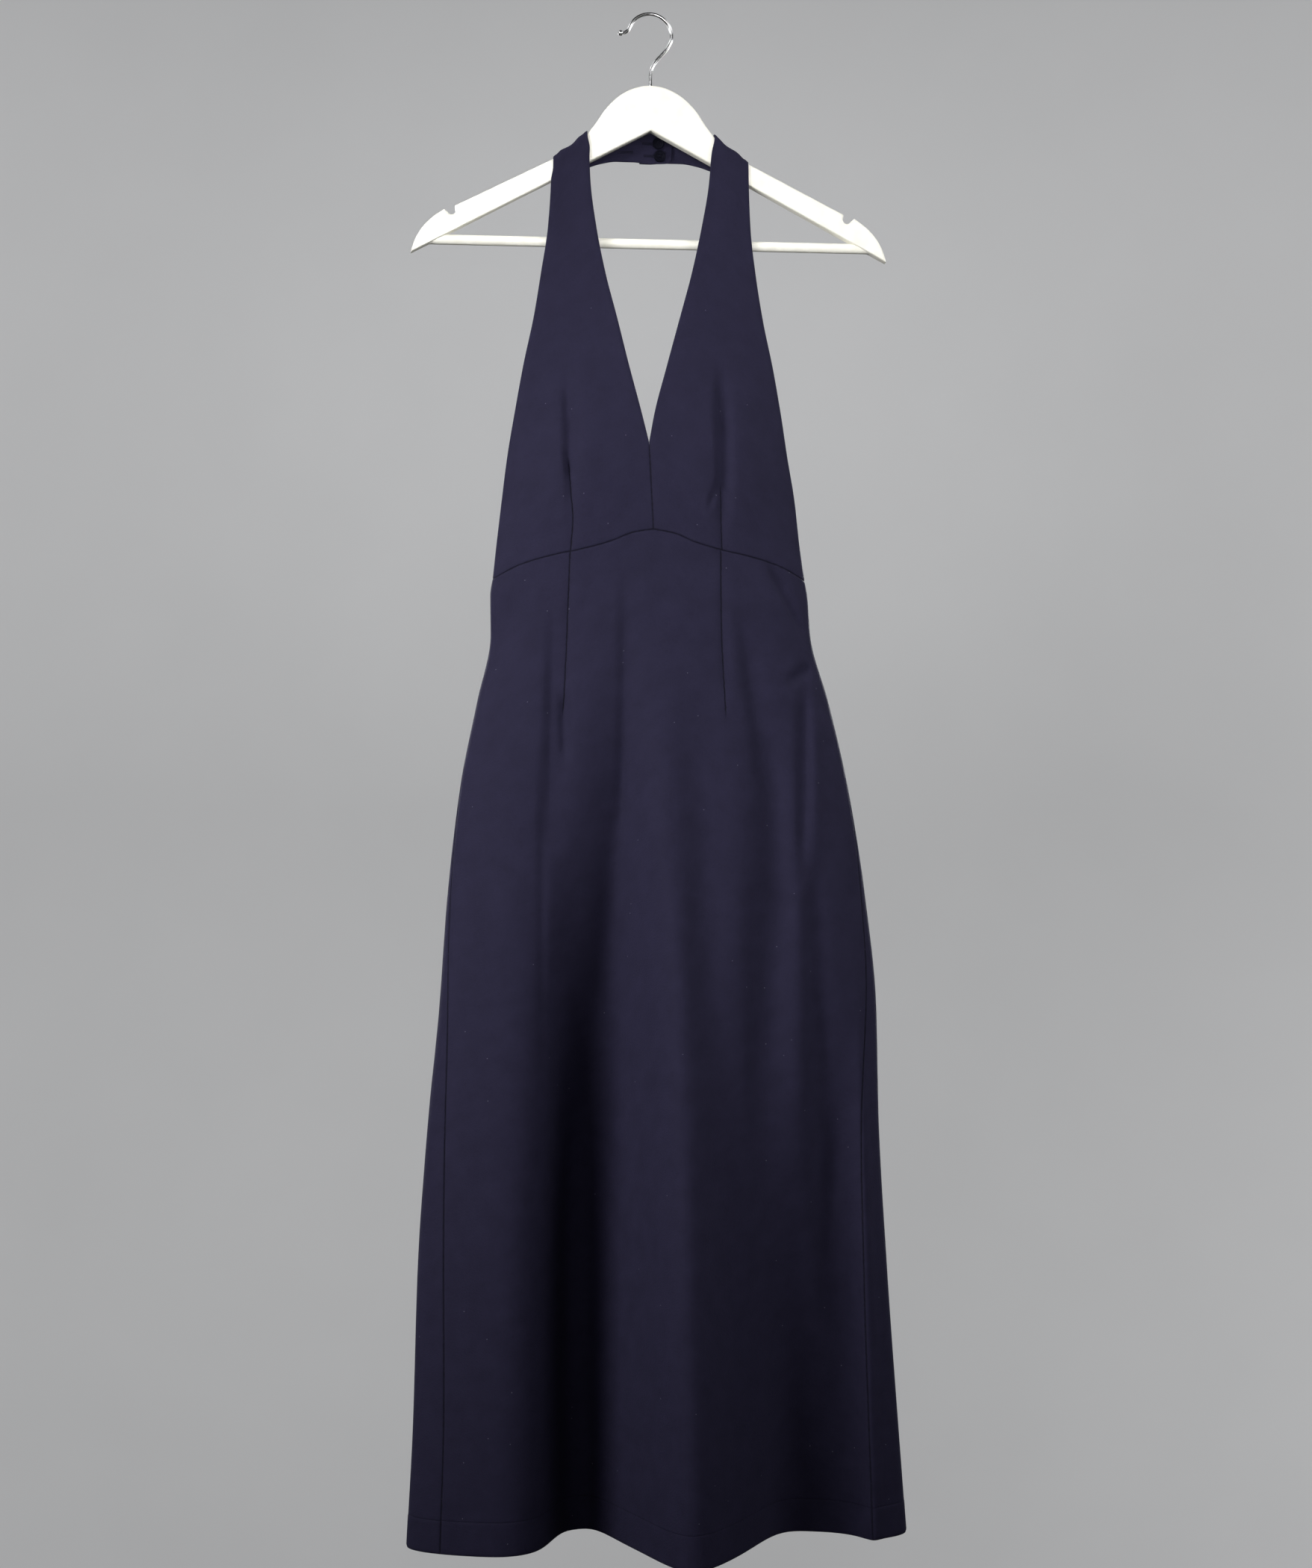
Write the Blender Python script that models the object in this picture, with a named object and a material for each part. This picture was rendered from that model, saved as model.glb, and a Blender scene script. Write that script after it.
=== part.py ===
"""Halter dress hanging on a wooden hanger, +Z up, with its front towards -Y.

The origin is the inside top of the hanger's hook, where a rail or a peg carries it. The tables below are in
millimetres and the model is in metres. Left and right are as seen from the front.
"""

import math
from collections import namedtuple

import bmesh
import bpy
from mathutils import Vector

MM = 0.001

# Cloth and how finely its walls are divided
CLOTH = 1.6
SEAM_GAP = 0.3
BODICE_COLUMNS = 10
BODICE_ROWS_BELOW_V = 5
BODICE_ROWS_ABOVE_V = 12
SKIRT_FRONT_COLUMNS = 4 * BODICE_COLUMNS
SKIRT_BACK_COLUMNS = 38
SKIRT_ROWS = 20
SKIRT_ROW_CROWDING = 1.25
SEAM_SETTLES = 0.12
ARC_SAMPLES = 200

# Heights below the hook
SIDE_TOP_Z = -531.0
V_POINT_Z = -405.6
STRAP_INNER_Z = -140.0
STRAP_OUTER_Z = -160.0
HEM_Z = -1431.0
BACK_TOP_DIP = 12.0

# Hanger
HANGER_THICK = 12.0
HANGER_ROUNDING = 2.0
HANGER_TOP_Z = -67.1
ARCH_Z = -109.3
ARM_SLOPE = 0.5
TIP_X = 224.3
TIP_Z = -228.0
NOTCH_X = 186.7
NOTCH_Z = -188.1
NOTCH_R = 4.3
BAR_R = 4.7
BAR_Z = -215.0
WIRE_R = 1.5
HOOK_R = 20.6
HOOK_CENTRE_X = -0.6
HOOK_TIP_SWELL = 1.7

# Buttons on the lapped neck band
BUTTON_R = 5.6
BUTTON_THICK = 2.4
BUTTON_RIM = 1.1
BUTTON_DISH = 0.7
LAP_FACE_Y = 13.0

# Outline and depth of the body at each height: outermost x left and right, how far the front and the back stand
# from the side edges, the side edges' y, and the roundness of the section (0.5 is an ellipse, 1 a parabola)
Section = namedtuple("Section", "z left right front back edge_y roundness")
SECTIONS = [
    Section(-130.0, -93.6, 91.9, 0.4, 0.0, -8.0, 1.00),
    Section(-160.0, -94.3, 92.4, 0.8, 0.0, -8.2, 1.00),
    Section(-202.0, -97.2, 94.1, 4.0, 0.0, -9.0, 1.00),
    Section(-244.0, -103.6, 98.8, 8.5, 0.0, -9.8, 1.00),
    Section(-287.0, -110.7, 105.7, 13.5, 0.0, -10.0, 1.00),
    Section(-332.0, -120.4, 115.5, 19.0, 0.0, -9.0, 1.00),
    Section(-374.0, -128.1, 123.3, 24.5, 0.0, -7.5, 1.00),
    Section(-415.0, -135.0, 129.9, 29.5, 0.0, -6.0, 0.95),
    Section(-457.0, -140.4, 137.3, 33.5, 0.0, -4.0, 0.80),
    Section(-498.0, -145.2, 141.9, 36.5, 0.0, -2.0, 0.62),
    Section(-531.0, -148.6, 146.8, 38.5, 34.0, 0.0, 0.50),
    Section(-546.0, -150.7, 149.4, 39.5, 35.0, 0.0, 0.50),
    Section(-583.0, -150.3, 152.2, 42.0, 38.0, 0.0, 0.50),
    Section(-645.0, -162.7, 169.4, 47.0, 45.0, 0.0, 0.50),
    Section(-722.0, -178.0, 187.4, 52.0, 52.0, 0.0, 0.50),
    Section(-828.0, -190.5, 204.6, 56.0, 58.0, 0.0, 0.50),
    Section(-933.0, -198.2, 215.4, 59.0, 62.0, 0.0, 0.50),
    Section(-1038.0, -208.6, 217.6, 61.0, 65.0, -0.5, 0.50),
    Section(-1178.0, -218.3, 225.5, 62.0, 68.0, -1.0, 0.50),
    Section(-1319.0, -222.5, 235.6, 62.0, 71.0, -1.5, 0.50),
    Section(-1431.0, -228.5, 244.0, 62.0, 73.0, -2.0, 0.50),
]

# Neckline: x of the left and right panels' inner edges, which meet at the point of the V
Neckline = namedtuple("Neckline", "z left right")
NECKLINE = [
    Neckline(-100.0, -58.6, 57.6),
    Neckline(-140.0, -58.0, 56.0),
    Neckline(-159.0, -57.2, 54.4),
    Neckline(-202.0, -52.0, 46.8),
    Neckline(-245.0, -44.1, 37.0),
    Neckline(-288.0, -33.6, 25.0),
    Neckline(-334.0, -22.8, 12.1),
    Neckline(-376.0, -12.2, 0.6),
    Neckline(V_POINT_Z, -5.2, -5.2),
]
CENTRE_SEAM_FOOT_X = -1.3

# The arched empire seam: share of the half width from centre front, and height
SeamPoint = namedtuple("SeamPoint", "share z")
EMPIRE_SEAM = [
    SeamPoint(0.00, -486.3),
    SeamPoint(0.13, -489.5),
    SeamPoint(0.28, -498.0),
    SeamPoint(0.43, -504.0),
    SeamPoint(0.66, -511.0),
    SeamPoint(0.83, -518.3),
    SeamPoint(1.00, SIDE_TOP_Z),
]

# Side seams: how far they lie inside the outline, seen from the front
SideSeam = namedtuple("SideSeam", "z left right")
SIDE_SEAMS = [
    SideSeam(-531.0, 0.0, 0.0),
    SideSeam(-700.0, 0.0, 0.2),
    SideSeam(-863.0, 3.5, 8.0),
    SideSeam(-1038.0, 15.0, 22.0),
    SideSeam(-1200.0, 24.0, 29.0),
    SideSeam(-1431.0, 30.0, 38.0),
]

# Folds: side 1 is the front and -1 the back, x and half width where the fold starts and at the hem, rise outwards
# (a valley is negative), and the heights where it starts, is full and has died away (0 runs out through the hem)
Fold = namedtuple("Fold", "name side x_top x_hem width_top width_hem rise start_z full_z end_z")
FOLDS = [
    Fold("left valley", 1, -90.0, -71.0, 19.0, 27.0, -64.0, -600.0, -1390.0, 0.0),
    Fold("inner left valley", 1, -36.0, -44.0, 15.0, 18.0, -7.0, -640.0, -800.0, -1080.0),
    Fold("centre ridge", 1, 6.0, 14.0, 24.0, 34.0, 46.0, -560.0, -1400.0, 0.0),
    Fold("right dip", 1, 88.0, 82.0, 13.0, 18.0, -5.0, -640.0, -950.0, -1300.0),
    Fold("right ridge", 1, 126.0, 136.0, 14.0, 20.0, 9.0, -620.0, -960.0, -1330.0),
    Fold("right side valley", 1, 160.0, 180.0, 16.0, 20.0, -20.0, -620.0, -1080.0, -1640.0),
    Fold("right valley", 1, 128.0, 132.0, 20.0, 31.0, -58.0, -960.0, -1445.0, 0.0),
    Fold("left cup", 1, -74.0, -74.0, 33.0, 33.0, 7.0, -300.0, -432.0, -520.0),
    Fold("right cup", 1, 70.0, 70.0, 33.0, 33.0, 7.0, -300.0, -432.0, -520.0),
    Fold("back left ridge", -1, -88.0, -112.0, 24.0, 36.0, 30.0, -620.0, -1400.0, 0.0),
    Fold("back centre valley", -1, -4.0, -14.0, 22.0, 32.0, -40.0, -600.0, -1400.0, 0.0),
    Fold("back right ridge", -1, 84.0, 98.0, 24.0, 38.0, 27.0, -660.0, -1400.0, 0.0),
    Fold("back right valley", -1, 150.0, 172.0, 18.0, 26.0, -18.0, -760.0, -1400.0, 0.0),
]
FOLD_EDGE_FADE = 0.35

# The strap from the hanger's front, over its arm and round the back of the neck, for the right side. follow is how
# closely a row lies along the arm's curved top, and under_y is the depth of the band that lies under the lap.
StrapRow = namedtuple("StrapRow", "name outer_x outer_z inner_x inner_z y under_y follow")
STRAP_ROWS = [
    StrapRow("on the arm", 92.2, -150.0, 56.9, -127.5, -8.0, -8.0, 0.5),
    StrapRow("front corner", 92.1, -141.5, 58.4, -115.5, -8.0, -8.0, 1.0),
    StrapRow("front rounding", 92.0, -136.5, 58.9, -110.2, -6.4, -6.4, 1.0),
    StrapRow("front of top", 91.9, -135.2, 59.1, -108.6, -2.6, -2.6, 1.0),
    StrapRow("back of top", 91.7, -135.2, 59.1, -108.6, 2.6, 2.6, 1.0),
    StrapRow("back rounding", 91.4, -136.5, 58.9, -110.2, 6.4, 6.4, 1.0),
    StrapRow("back corner", 90.8, -140.5, 58.4, -114.4, 8.2, 8.2, 1.0),
    StrapRow("turn 1", 87.0, -144.4, 56.7, -113.4, 8.8, 8.8, 0.6),
    StrapRow("turn 2", 80.0, -146.3, 53.8, -111.2, 9.5, 9.6, 0.3),
    StrapRow("turn 3", 71.0, -146.0, 49.5, -108.4, 10.3, 10.6, 0.0),
    StrapRow("turn 4", 60.0, -143.0, 43.0, -105.6, 11.2, 12.0, 0.0),
    StrapRow("nape 1", 47.0, -138.5, 34.5, -103.6, 11.9, 13.6, 0.0),
    StrapRow("nape 2", 31.0, -135.6, 25.5, -102.4, 12.6, 15.0, 0.0),
    StrapRow("nape 3", 15.0, -135.6, 13.0, -101.8, LAP_FACE_Y, 15.0, 0.0),
    StrapRow("centre back", 0.0, -136.8, 0.0, -101.5, LAP_FACE_Y, 15.0, 0.0),
]
UNDER_END = [
    StrapRow("under end", -9.0, -136.6, -9.0, -101.7, LAP_FACE_Y, 15.0, 0.0),
]
LAP_END = [
    StrapRow("lap 1", -9.0, -136.6, -9.0, -101.7, LAP_FACE_Y, 15.0, 0.0),
    StrapRow("lap 2", -17.0, -136.0, -17.0, -102.0, LAP_FACE_Y, 15.0, 0.0),
    StrapRow("lap rounding", -20.6, -134.2, -20.6, -103.8, LAP_FACE_Y, 15.0, 0.0),
    StrapRow("lap end", -22.0, -130.6, -22.0, -107.4, LAP_FACE_Y, 15.0, 0.0),
]

# The wire from the hanger's top up to the round of the hook, and its turned-out tip
WirePoint = namedtuple("WirePoint", "x z")
HOOK_STEM = [
    WirePoint(0.0, -66.8),
    WirePoint(0.0, -57.6),
    WirePoint(0.7, -51.2),
    WirePoint(2.3, -47.4),
    WirePoint(5.6, -42.3),
    WirePoint(10.5, -37.0),
    WirePoint(15.2, -31.4),
    WirePoint(18.5, -25.4),
]
HOOK_TIP = [
    WirePoint(-21.4, -14.6),
    WirePoint(-23.8, -16.4),
    WirePoint(-26.4, -17.2),
]

COLOURS = {
    "cloth": (0.0212, 0.0203, 0.0382, 0.85, 0.0),
    "button": (0.010, 0.010, 0.020, 0.35, 0.0),
    "paint": (0.93, 0.91, 0.83, 0.45, 0.0),
    "wire": (0.55, 0.55, 0.56, 0.25, 1.0),
}


def clear_scene():
    for item in list(bpy.data.objects):
        bpy.data.objects.remove(item, do_unlink=True)


def material(name, finish):
    """A plain finish: colour, roughness and metallic value."""
    red, green, blue, roughness, metallic = COLOURS[finish]
    made = bpy.data.materials.new(name)
    made.use_nodes = True
    shader = made.node_tree.nodes["Principled BSDF"]
    shader.inputs["Base Color"].default_value = (red, green, blue, 1.0)
    shader.inputs["Roughness"].default_value = roughness
    shader.inputs["Metallic"].default_value = metallic
    return made


def add_object(name, mesh, finish):
    made = bpy.data.objects.new(name, mesh)
    bpy.context.scene.collection.objects.link(made)
    mesh.materials.append(material(name, finish))
    return made


def smooth_curve(table, key, column):
    """A smooth function through one column of a table, which never swings past its rows."""
    rows = sorted((getattr(row, key), getattr(row, column)) for row in table)
    keys = [row[0] for row in rows]
    values = [row[1] for row in rows]
    rises = [(values[i + 1] - values[i]) / (keys[i + 1] - keys[i]) for i in range(len(rows) - 1)]
    slopes = [rises[0]]
    for before, after in zip(rises, rises[1:]):
        turning = before * after <= 0.0
        slopes.append(0.0 if turning else 2.0 * before * after / (before + after))
    slopes.append(rises[-1])

    def at(value):
        value = min(max(value, keys[0]), keys[-1])
        i = 0
        while i < len(keys) - 2 and value > keys[i + 1]:
            i += 1
        span = keys[i + 1] - keys[i]
        t = (value - keys[i]) / span
        ease = t * t * (3.0 - 2.0 * t)
        start = slopes[i] * span * t * (1.0 - t) ** 2
        end = slopes[i + 1] * span * t * t * (t - 1.0)
        return values[i] + (values[i + 1] - values[i]) * ease + start + end

    return at


LEFT = smooth_curve(SECTIONS, "z", "left")
RIGHT = smooth_curve(SECTIONS, "z", "right")
FRONT = smooth_curve(SECTIONS, "z", "front")
BACK = smooth_curve(SECTIONS, "z", "back")
EDGE_Y = smooth_curve(SECTIONS, "z", "edge_y")
ROUNDNESS = smooth_curve(SECTIONS, "z", "roundness")
NECK = {-1: smooth_curve(NECKLINE, "z", "left"), 1: smooth_curve(NECKLINE, "z", "right")}
SEAM_HEIGHT = smooth_curve(EMPIRE_SEAM, "share", "z")
SEAM_INSET = {-1: smooth_curve(SIDE_SEAMS, "z", "left"), 1: smooth_curve(SIDE_SEAMS, "z", "right")}


def ease(value):
    value = min(max(value, 0.0), 1.0)
    return value * value * (3.0 - 2.0 * value)


def blend(start, end, share):
    return start + (end - start) * share


def fold_rise(fold, x, z):
    """How far one fold lifts the cloth at x and z."""
    if z > fold.start_z:
        return 0.0
    grown = ease((fold.start_z - z) / (fold.start_z - fold.full_z))
    if fold.end_z and z < fold.full_z:
        grown = 1.0 - ease((fold.full_z - z) / (fold.full_z - fold.end_z))
    run = min(1.0, (fold.start_z - z) / (fold.start_z - HEM_Z))
    centre = blend(fold.x_top, fold.x_hem, run)
    width = blend(fold.width_top, fold.width_hem, run)
    return fold.rise * grown * math.exp(-0.5 * ((x - centre) / width) ** 2)


def body_point(angle, z):
    """A point of the cloth's outer face: angle 0 is centre front, 90 degrees the right side, 180 centre back."""
    left = LEFT(z)
    right = RIGHT(z)
    across = math.sin(angle)
    along = math.cos(angle)
    side = 1 if along >= 0.0 else -1
    x = (left + right) / 2.0 + (right - left) / 2.0 * across
    depth = FRONT(z) if side == 1 else BACK(z)
    out = depth * abs(along) ** (2.0 * ROUNDNESS(z))
    fade = ease(abs(along) / FOLD_EDGE_FADE)
    for fold in FOLDS:
        if fold.side == side:
            out += fade * fold_rise(fold, x, z)
    return Vector((x, EDGE_Y(z) - side * out, z))


def body_normal(angle, z):
    """The outward direction of the cloth at a point, from two short steps over its surface."""
    step = 0.004
    drop = 0.6
    round_way = body_point(angle + step, z) - body_point(angle - step, z)
    up_way = body_point(angle, z + drop) - body_point(angle, z - drop)
    return round_way.cross(up_way).normalized()


def angle_at_x(x, z):
    """The angle on the front at which the body has the given x."""
    left = LEFT(z)
    right = RIGHT(z)
    share = (x - (left + right) / 2.0) / ((right - left) / 2.0)
    return math.asin(min(max(share, -1.0), 1.0))


def inner_x(side, z):
    """Where a halter panel's inner edge lies: along the neckline, and along the centre seam below the V."""
    if z > V_POINT_Z:
        return NECK[side](z)
    foot_z = EMPIRE_SEAM[0].z
    return blend(CENTRE_SEAM_FOOT_X, NECK[side](V_POINT_Z), (z - foot_z) / (V_POINT_Z - foot_z))


def seam_angle(side, z, panel_side):
    """A side seam's angle, moved half the seam's gap towards the panel: 1 for the front panel, -1 for the back."""
    half = (RIGHT(z) - LEFT(z)) / 2.0
    angle = math.asin(1.0 - SEAM_INSET[side](z) / half)
    step = 0.01
    pace = (body_point(side * (angle + step), z) - body_point(side * (angle - step), z)).length / (2.0 * step)
    return side * (angle - panel_side * SEAM_GAP / 2.0 / pace)


def even_angles(first, last, height, count):
    """Angles from first to last that part the cloth's width evenly, on a row whose height may change along it."""
    angles = [blend(first, last, i / ARC_SAMPLES) for i in range(ARC_SAMPLES + 1)]
    points = [body_point(angle, height(angle)) for angle in angles]
    lengths = [0.0]
    for before, after in zip(points, points[1:]):
        lengths.append(lengths[-1] + (after - before).length)
    result = []
    i = 0
    for k in range(count + 1):
        wanted = lengths[-1] * k / count
        while i < ARC_SAMPLES - 1 and lengths[i + 1] < wanted:
            i += 1
        share = (wanted - lengths[i]) / (lengths[i + 1] - lengths[i])
        result.append(blend(angles[i], angles[i + 1], min(max(share, 0.0), 1.0)))
    return result


def wall(name, outer, normals, finish):
    """One closed body: a grid of outer points, the same grid one cloth thickness inside, and the rims between."""
    rows = len(outer)
    columns = len(outer[0])
    shape = bmesh.new()
    skins = []
    for depth in (0.0, CLOTH):
        skin = []
        for r in range(rows):
            for c in range(columns):
                point = outer[r][c] - normals[r][c] * depth
                skin.append(shape.verts.new(point * MM))
        skins.append(skin)
    face_side, lining_side = skins
    for r in range(rows - 1):
        for c in range(columns - 1):
            ring = (r * columns + c, r * columns + c + 1, (r + 1) * columns + c + 1, (r + 1) * columns + c)
            shape.faces.new([face_side[i] for i in ring])
            shape.faces.new([lining_side[i] for i in reversed(ring)])
    border = [c for c in range(columns)]
    border += [r * columns + columns - 1 for r in range(1, rows)]
    border += [(rows - 1) * columns + c for c in range(columns - 2, -1, -1)]
    border += [r * columns for r in range(rows - 2, 0, -1)]
    for start, end in zip(border, border[1:] + border[:1]):
        shape.faces.new((face_side[end], face_side[start], lining_side[start], lining_side[end]))
    bmesh.ops.recalc_face_normals(shape, faces=shape.faces)
    mesh = bpy.data.meshes.new(name)
    shape.to_mesh(mesh)
    shape.free()
    mesh.shade_smooth()
    mesh.set_sharp_from_angle(angle=math.radians(50.0))
    return add_object(name, mesh, finish)


def bezier(p0, p1, p2, p3, count):
    """Points along one cubic curve, its first point left out."""
    points = []
    for i in range(1, count + 1):
        t = i / count
        s = 1.0 - t
        weights = (s ** 3, 3.0 * s * s * t, 3.0 * s * t * t, t ** 3)
        points.append(tuple(sum(w * p[k] for w, p in zip(weights, (p0, p1, p2, p3))) for k in (0, 1)))
    return points


def hanger_top():
    """The upper edge of the hanger's right half, from the top of the bell to the straight of the arm."""
    points = [(0.0, HANGER_TOP_Z)]
    points += bezier((0.0, HANGER_TOP_Z), (22.0, HANGER_TOP_Z), (38.5, -82.5), (47.5, -97.0), 8)
    points += bezier((47.5, -97.0), (57.0, -112.0), (70.0, -127.2), (91.8, -138.1), 7)
    return points


HangerEdge = namedtuple("HangerEdge", "x z")
ARM_TOP = smooth_curve([HangerEdge(*point) for point in hanger_top()], "x", "z")


def strap_row(row, side, under):
    """Points across the strap at one row, from its inner to its outer edge."""
    points = []
    for c in range(BODICE_COLUMNS + 1):
        share = c / BODICE_COLUMNS
        x = blend(row.inner_x, row.outer_x, share)
        z = blend(row.inner_z, row.outer_z, share)
        straight = blend(ARM_TOP(row.inner_x), ARM_TOP(row.outer_x), share)
        z += row.follow * (ARM_TOP(x) - straight)
        points.append(Vector((side * x, row.under_y if under else row.y, z)))
    return points


V_SHARE = (V_POINT_Z - EMPIRE_SEAM[0].z) / (STRAP_INNER_Z - EMPIRE_SEAM[0].z)


def bodice_heights(share):
    """Heights of the inner and outer ends of a row, from the empire seam (share 0) up to the strap (share 1)."""
    return blend(EMPIRE_SEAM[0].z, STRAP_INNER_Z, share), blend(SIDE_TOP_Z, STRAP_OUTER_Z, share)


def bodice_row(side, share):
    """One row of a halter panel's points and directions, from its inner edge to the armhole edge."""
    inner_z, outer_z = bodice_heights(share)
    arch = max(0.0, 1.0 - share / V_SHARE)
    start = angle_at_x(inner_x(side, inner_z) + side * SEAM_GAP / 2.0, inner_z)
    end = side * math.pi / 2.0

    def height(angle):
        spread = (math.sin(angle) - math.sin(start)) / (math.sin(end) - math.sin(start))
        row_z = blend(inner_z, outer_z, spread)
        seam_z = SEAM_HEIGHT(abs(math.sin(angle))) + SEAM_GAP / 2.0
        return row_z + arch * (seam_z - blend(EMPIRE_SEAM[0].z, SIDE_TOP_Z, spread))

    angles = even_angles(start, end, height, BODICE_COLUMNS)
    return angles, [body_point(a, height(a)) for a in angles], [body_normal(a, height(a)) for a in angles]


def grid_normals(rows, outward_first):
    """Outward directions on a grid of points, turned to agree with the first row's given direction."""
    result = []
    for r, row in enumerate(rows):
        before = rows[max(r - 1, 0)]
        after = rows[min(r + 1, len(rows) - 1)]
        line = []
        for c in range(len(row)):
            along = row[min(c + 1, len(row) - 1)] - row[max(c - 1, 0)]
            up = after[c] - before[c]
            line.append(along.cross(up).normalized())
        result.append(line)
    if result[0][0].dot(outward_first) < 0.0:
        result = [[-n for n in line] for line in result]
    return result


def make_bodice(name, side, end_rows, under):
    """A halter panel, from the empire seam over the hanger's arm to the back of the neck."""
    shares = [V_SHARE * i / BODICE_ROWS_BELOW_V for i in range(BODICE_ROWS_BELOW_V)]
    shares += [blend(V_SHARE, 1.0, i / BODICE_ROWS_ABOVE_V) for i in range(BODICE_ROWS_ABOVE_V + 1)]
    points = []
    normals = []
    for share in shares:
        row, directions = bodice_row(side, share)[1:]
        points.append(row)
        normals.append(directions)
    strap = [strap_row(row, side, under) for row in STRAP_ROWS + end_rows]
    strap_normals = grid_normals([points[-1]] + strap, normals[-1][0])
    points += strap
    normals += strap_normals[1:]
    return wall(name, points, normals, "cloth")


def skirt_shares():
    """Shares of the way from the skirt's top to its hem, closer together near the top."""
    return [(i / SKIRT_ROWS) ** SKIRT_ROW_CROWDING for i in range(SKIRT_ROWS + 1)]


def seam_knots():
    """Angles at which the two halter panels' lower edges have their points, from the left side to the right."""
    left = bodice_row(-1, 0.0)[0]
    right = bodice_row(1, 0.0)[0]
    return left[:0:-1] + [(left[0] + right[0]) / 2.0] + right[1:]


def halved(row):
    """A row of points or directions with one more in the middle of each step."""
    result = [row[0]]
    for before, after in zip(row, row[1:]):
        result += [(before + after) / 2.0, after]
    return result


def make_skirt_front():
    """The skirt's front panel, hung from the arched empire seam, whose points its top edge shares."""
    knots = seam_knots()
    top_angles = halved(knots)
    top_z = [SEAM_HEIGHT(abs(math.sin(angle))) - SEAM_GAP / 2.0 for angle in knots]
    points = [halved([body_point(angle, z) for angle, z in zip(knots, top_z)])]
    normals = [halved([body_normal(angle, z) for angle, z in zip(knots, top_z)])]
    for share in skirt_shares()[1:]:
        level = blend(SIDE_TOP_Z, HEM_Z, share)

        def height(angle):
            top = SEAM_HEIGHT(abs(math.sin(angle))) - SEAM_GAP / 2.0
            return blend(top, HEM_Z, share)

        first = seam_angle(-1, level, 1)
        last = seam_angle(1, level, 1)
        angles = even_angles(first, last, height, SKIRT_FRONT_COLUMNS)
        settled = ease(share / SEAM_SETTLES)
        angles[1:-1] = [blend(a, b, settled) for a, b in zip(top_angles[1:-1], angles[1:-1])]
        points.append([body_point(angle, height(angle)) for angle in angles])
        normals.append([body_normal(angle, height(angle)) for angle in angles])
    return wall("skirt_front", points, normals, "cloth")


def make_skirt_back():
    """The skirt's back panel, from side seam to side seam round the back, with a gently dipped top edge."""
    points = []
    normals = []
    for share in skirt_shares():
        level = blend(SIDE_TOP_Z, HEM_Z, share)

        def height(angle):
            top = SIDE_TOP_Z - SEAM_GAP / 2.0 - BACK_TOP_DIP * max(0.0, -math.cos(angle)) ** 2
            return blend(top, HEM_Z, share)

        first = seam_angle(1, level, -1)
        last = seam_angle(-1, level, -1) + 2.0 * math.pi
        angles = even_angles(first, last, height, SKIRT_BACK_COLUMNS)
        points.append([body_point(angle, height(angle)) for angle in angles])
        normals.append([body_normal(angle, height(angle)) for angle in angles])
    return wall("skirt_back", points, normals, "cloth")


def make_button(name, x, z):
    """A flat round button with a raised rim, its dished face towards the front."""
    back_y = LAP_FACE_Y - CLOTH - SEAM_GAP
    front_y = back_y - BUTTON_THICK
    profile = [
        (0.0, back_y),
        (BUTTON_R - 0.6, back_y),
        (BUTTON_R, back_y - 0.7),
        (BUTTON_R, front_y + 0.6),
        (BUTTON_R - 0.5, front_y),
        (BUTTON_R - BUTTON_RIM, front_y),
        (BUTTON_R - BUTTON_RIM - 0.5, front_y + BUTTON_DISH),
        (0.0, front_y + BUTTON_DISH),
    ]
    shape = bmesh.new()
    line = [shape.verts.new(Vector((radius, y, 0.0)) * MM) for radius, y in profile]
    edges = [shape.edges.new(pair) for pair in zip(line, line[1:])]
    bmesh.ops.spin(shape, geom=line + edges, cent=(0, 0, 0), axis=(0, 1, 0), angle=2.0 * math.pi, steps=20)
    bmesh.ops.remove_doubles(shape, verts=shape.verts, dist=0.00001)
    bmesh.ops.recalc_face_normals(shape, faces=shape.faces)
    mesh = bpy.data.meshes.new(name)
    shape.to_mesh(mesh)
    shape.free()
    mesh.shade_smooth()
    mesh.set_sharp_from_angle(angle=math.radians(35.0))
    made = add_object(name, mesh, "button")
    made.location = (x * MM, 0.0, z * MM)
    return made


def hanger_outline():
    """The right half of the hanger's outline, from the top of the bell round the tip to the arch."""
    points = hanger_top()
    straight_x, straight_z = points[-1]
    lip_x = NOTCH_X - NOTCH_R * 0.8
    points.append((lip_x, straight_z - (lip_x - straight_x) * ARM_SLOPE))
    for step in range(8):
        angle = math.radians(155.0 + step * 25.0)
        points.append((NOTCH_X + NOTCH_R * math.cos(angle), NOTCH_Z + NOTCH_R * math.sin(angle)))
    lobe_start = (193.6, -187.4)
    points.append(lobe_start)
    points += bezier(lobe_start, (210.5, -197.4), (220.5, -210.0), (TIP_X, TIP_Z), 7)
    return points


def drawn_in(outline, distance):
    """The outline, which runs clockwise, moved inwards everywhere by a distance."""
    result = []
    for before, point, after in zip(outline[-1:] + outline[:-1], outline, outline[1:] + outline[:1]):
        into = Vector((point[0] - before[0], point[1] - before[1])).normalized()
        onward = Vector((after[0] - point[0], after[1] - point[1])).normalized()
        inward = Vector((into.y + onward.y, -into.x - onward.x)).normalized()
        reach = distance / max(0.5, inward.dot(Vector((onward.y, -onward.x))))
        result.append((point[0] + inward.x * reach, point[1] + inward.y * reach))
    return result


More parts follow.
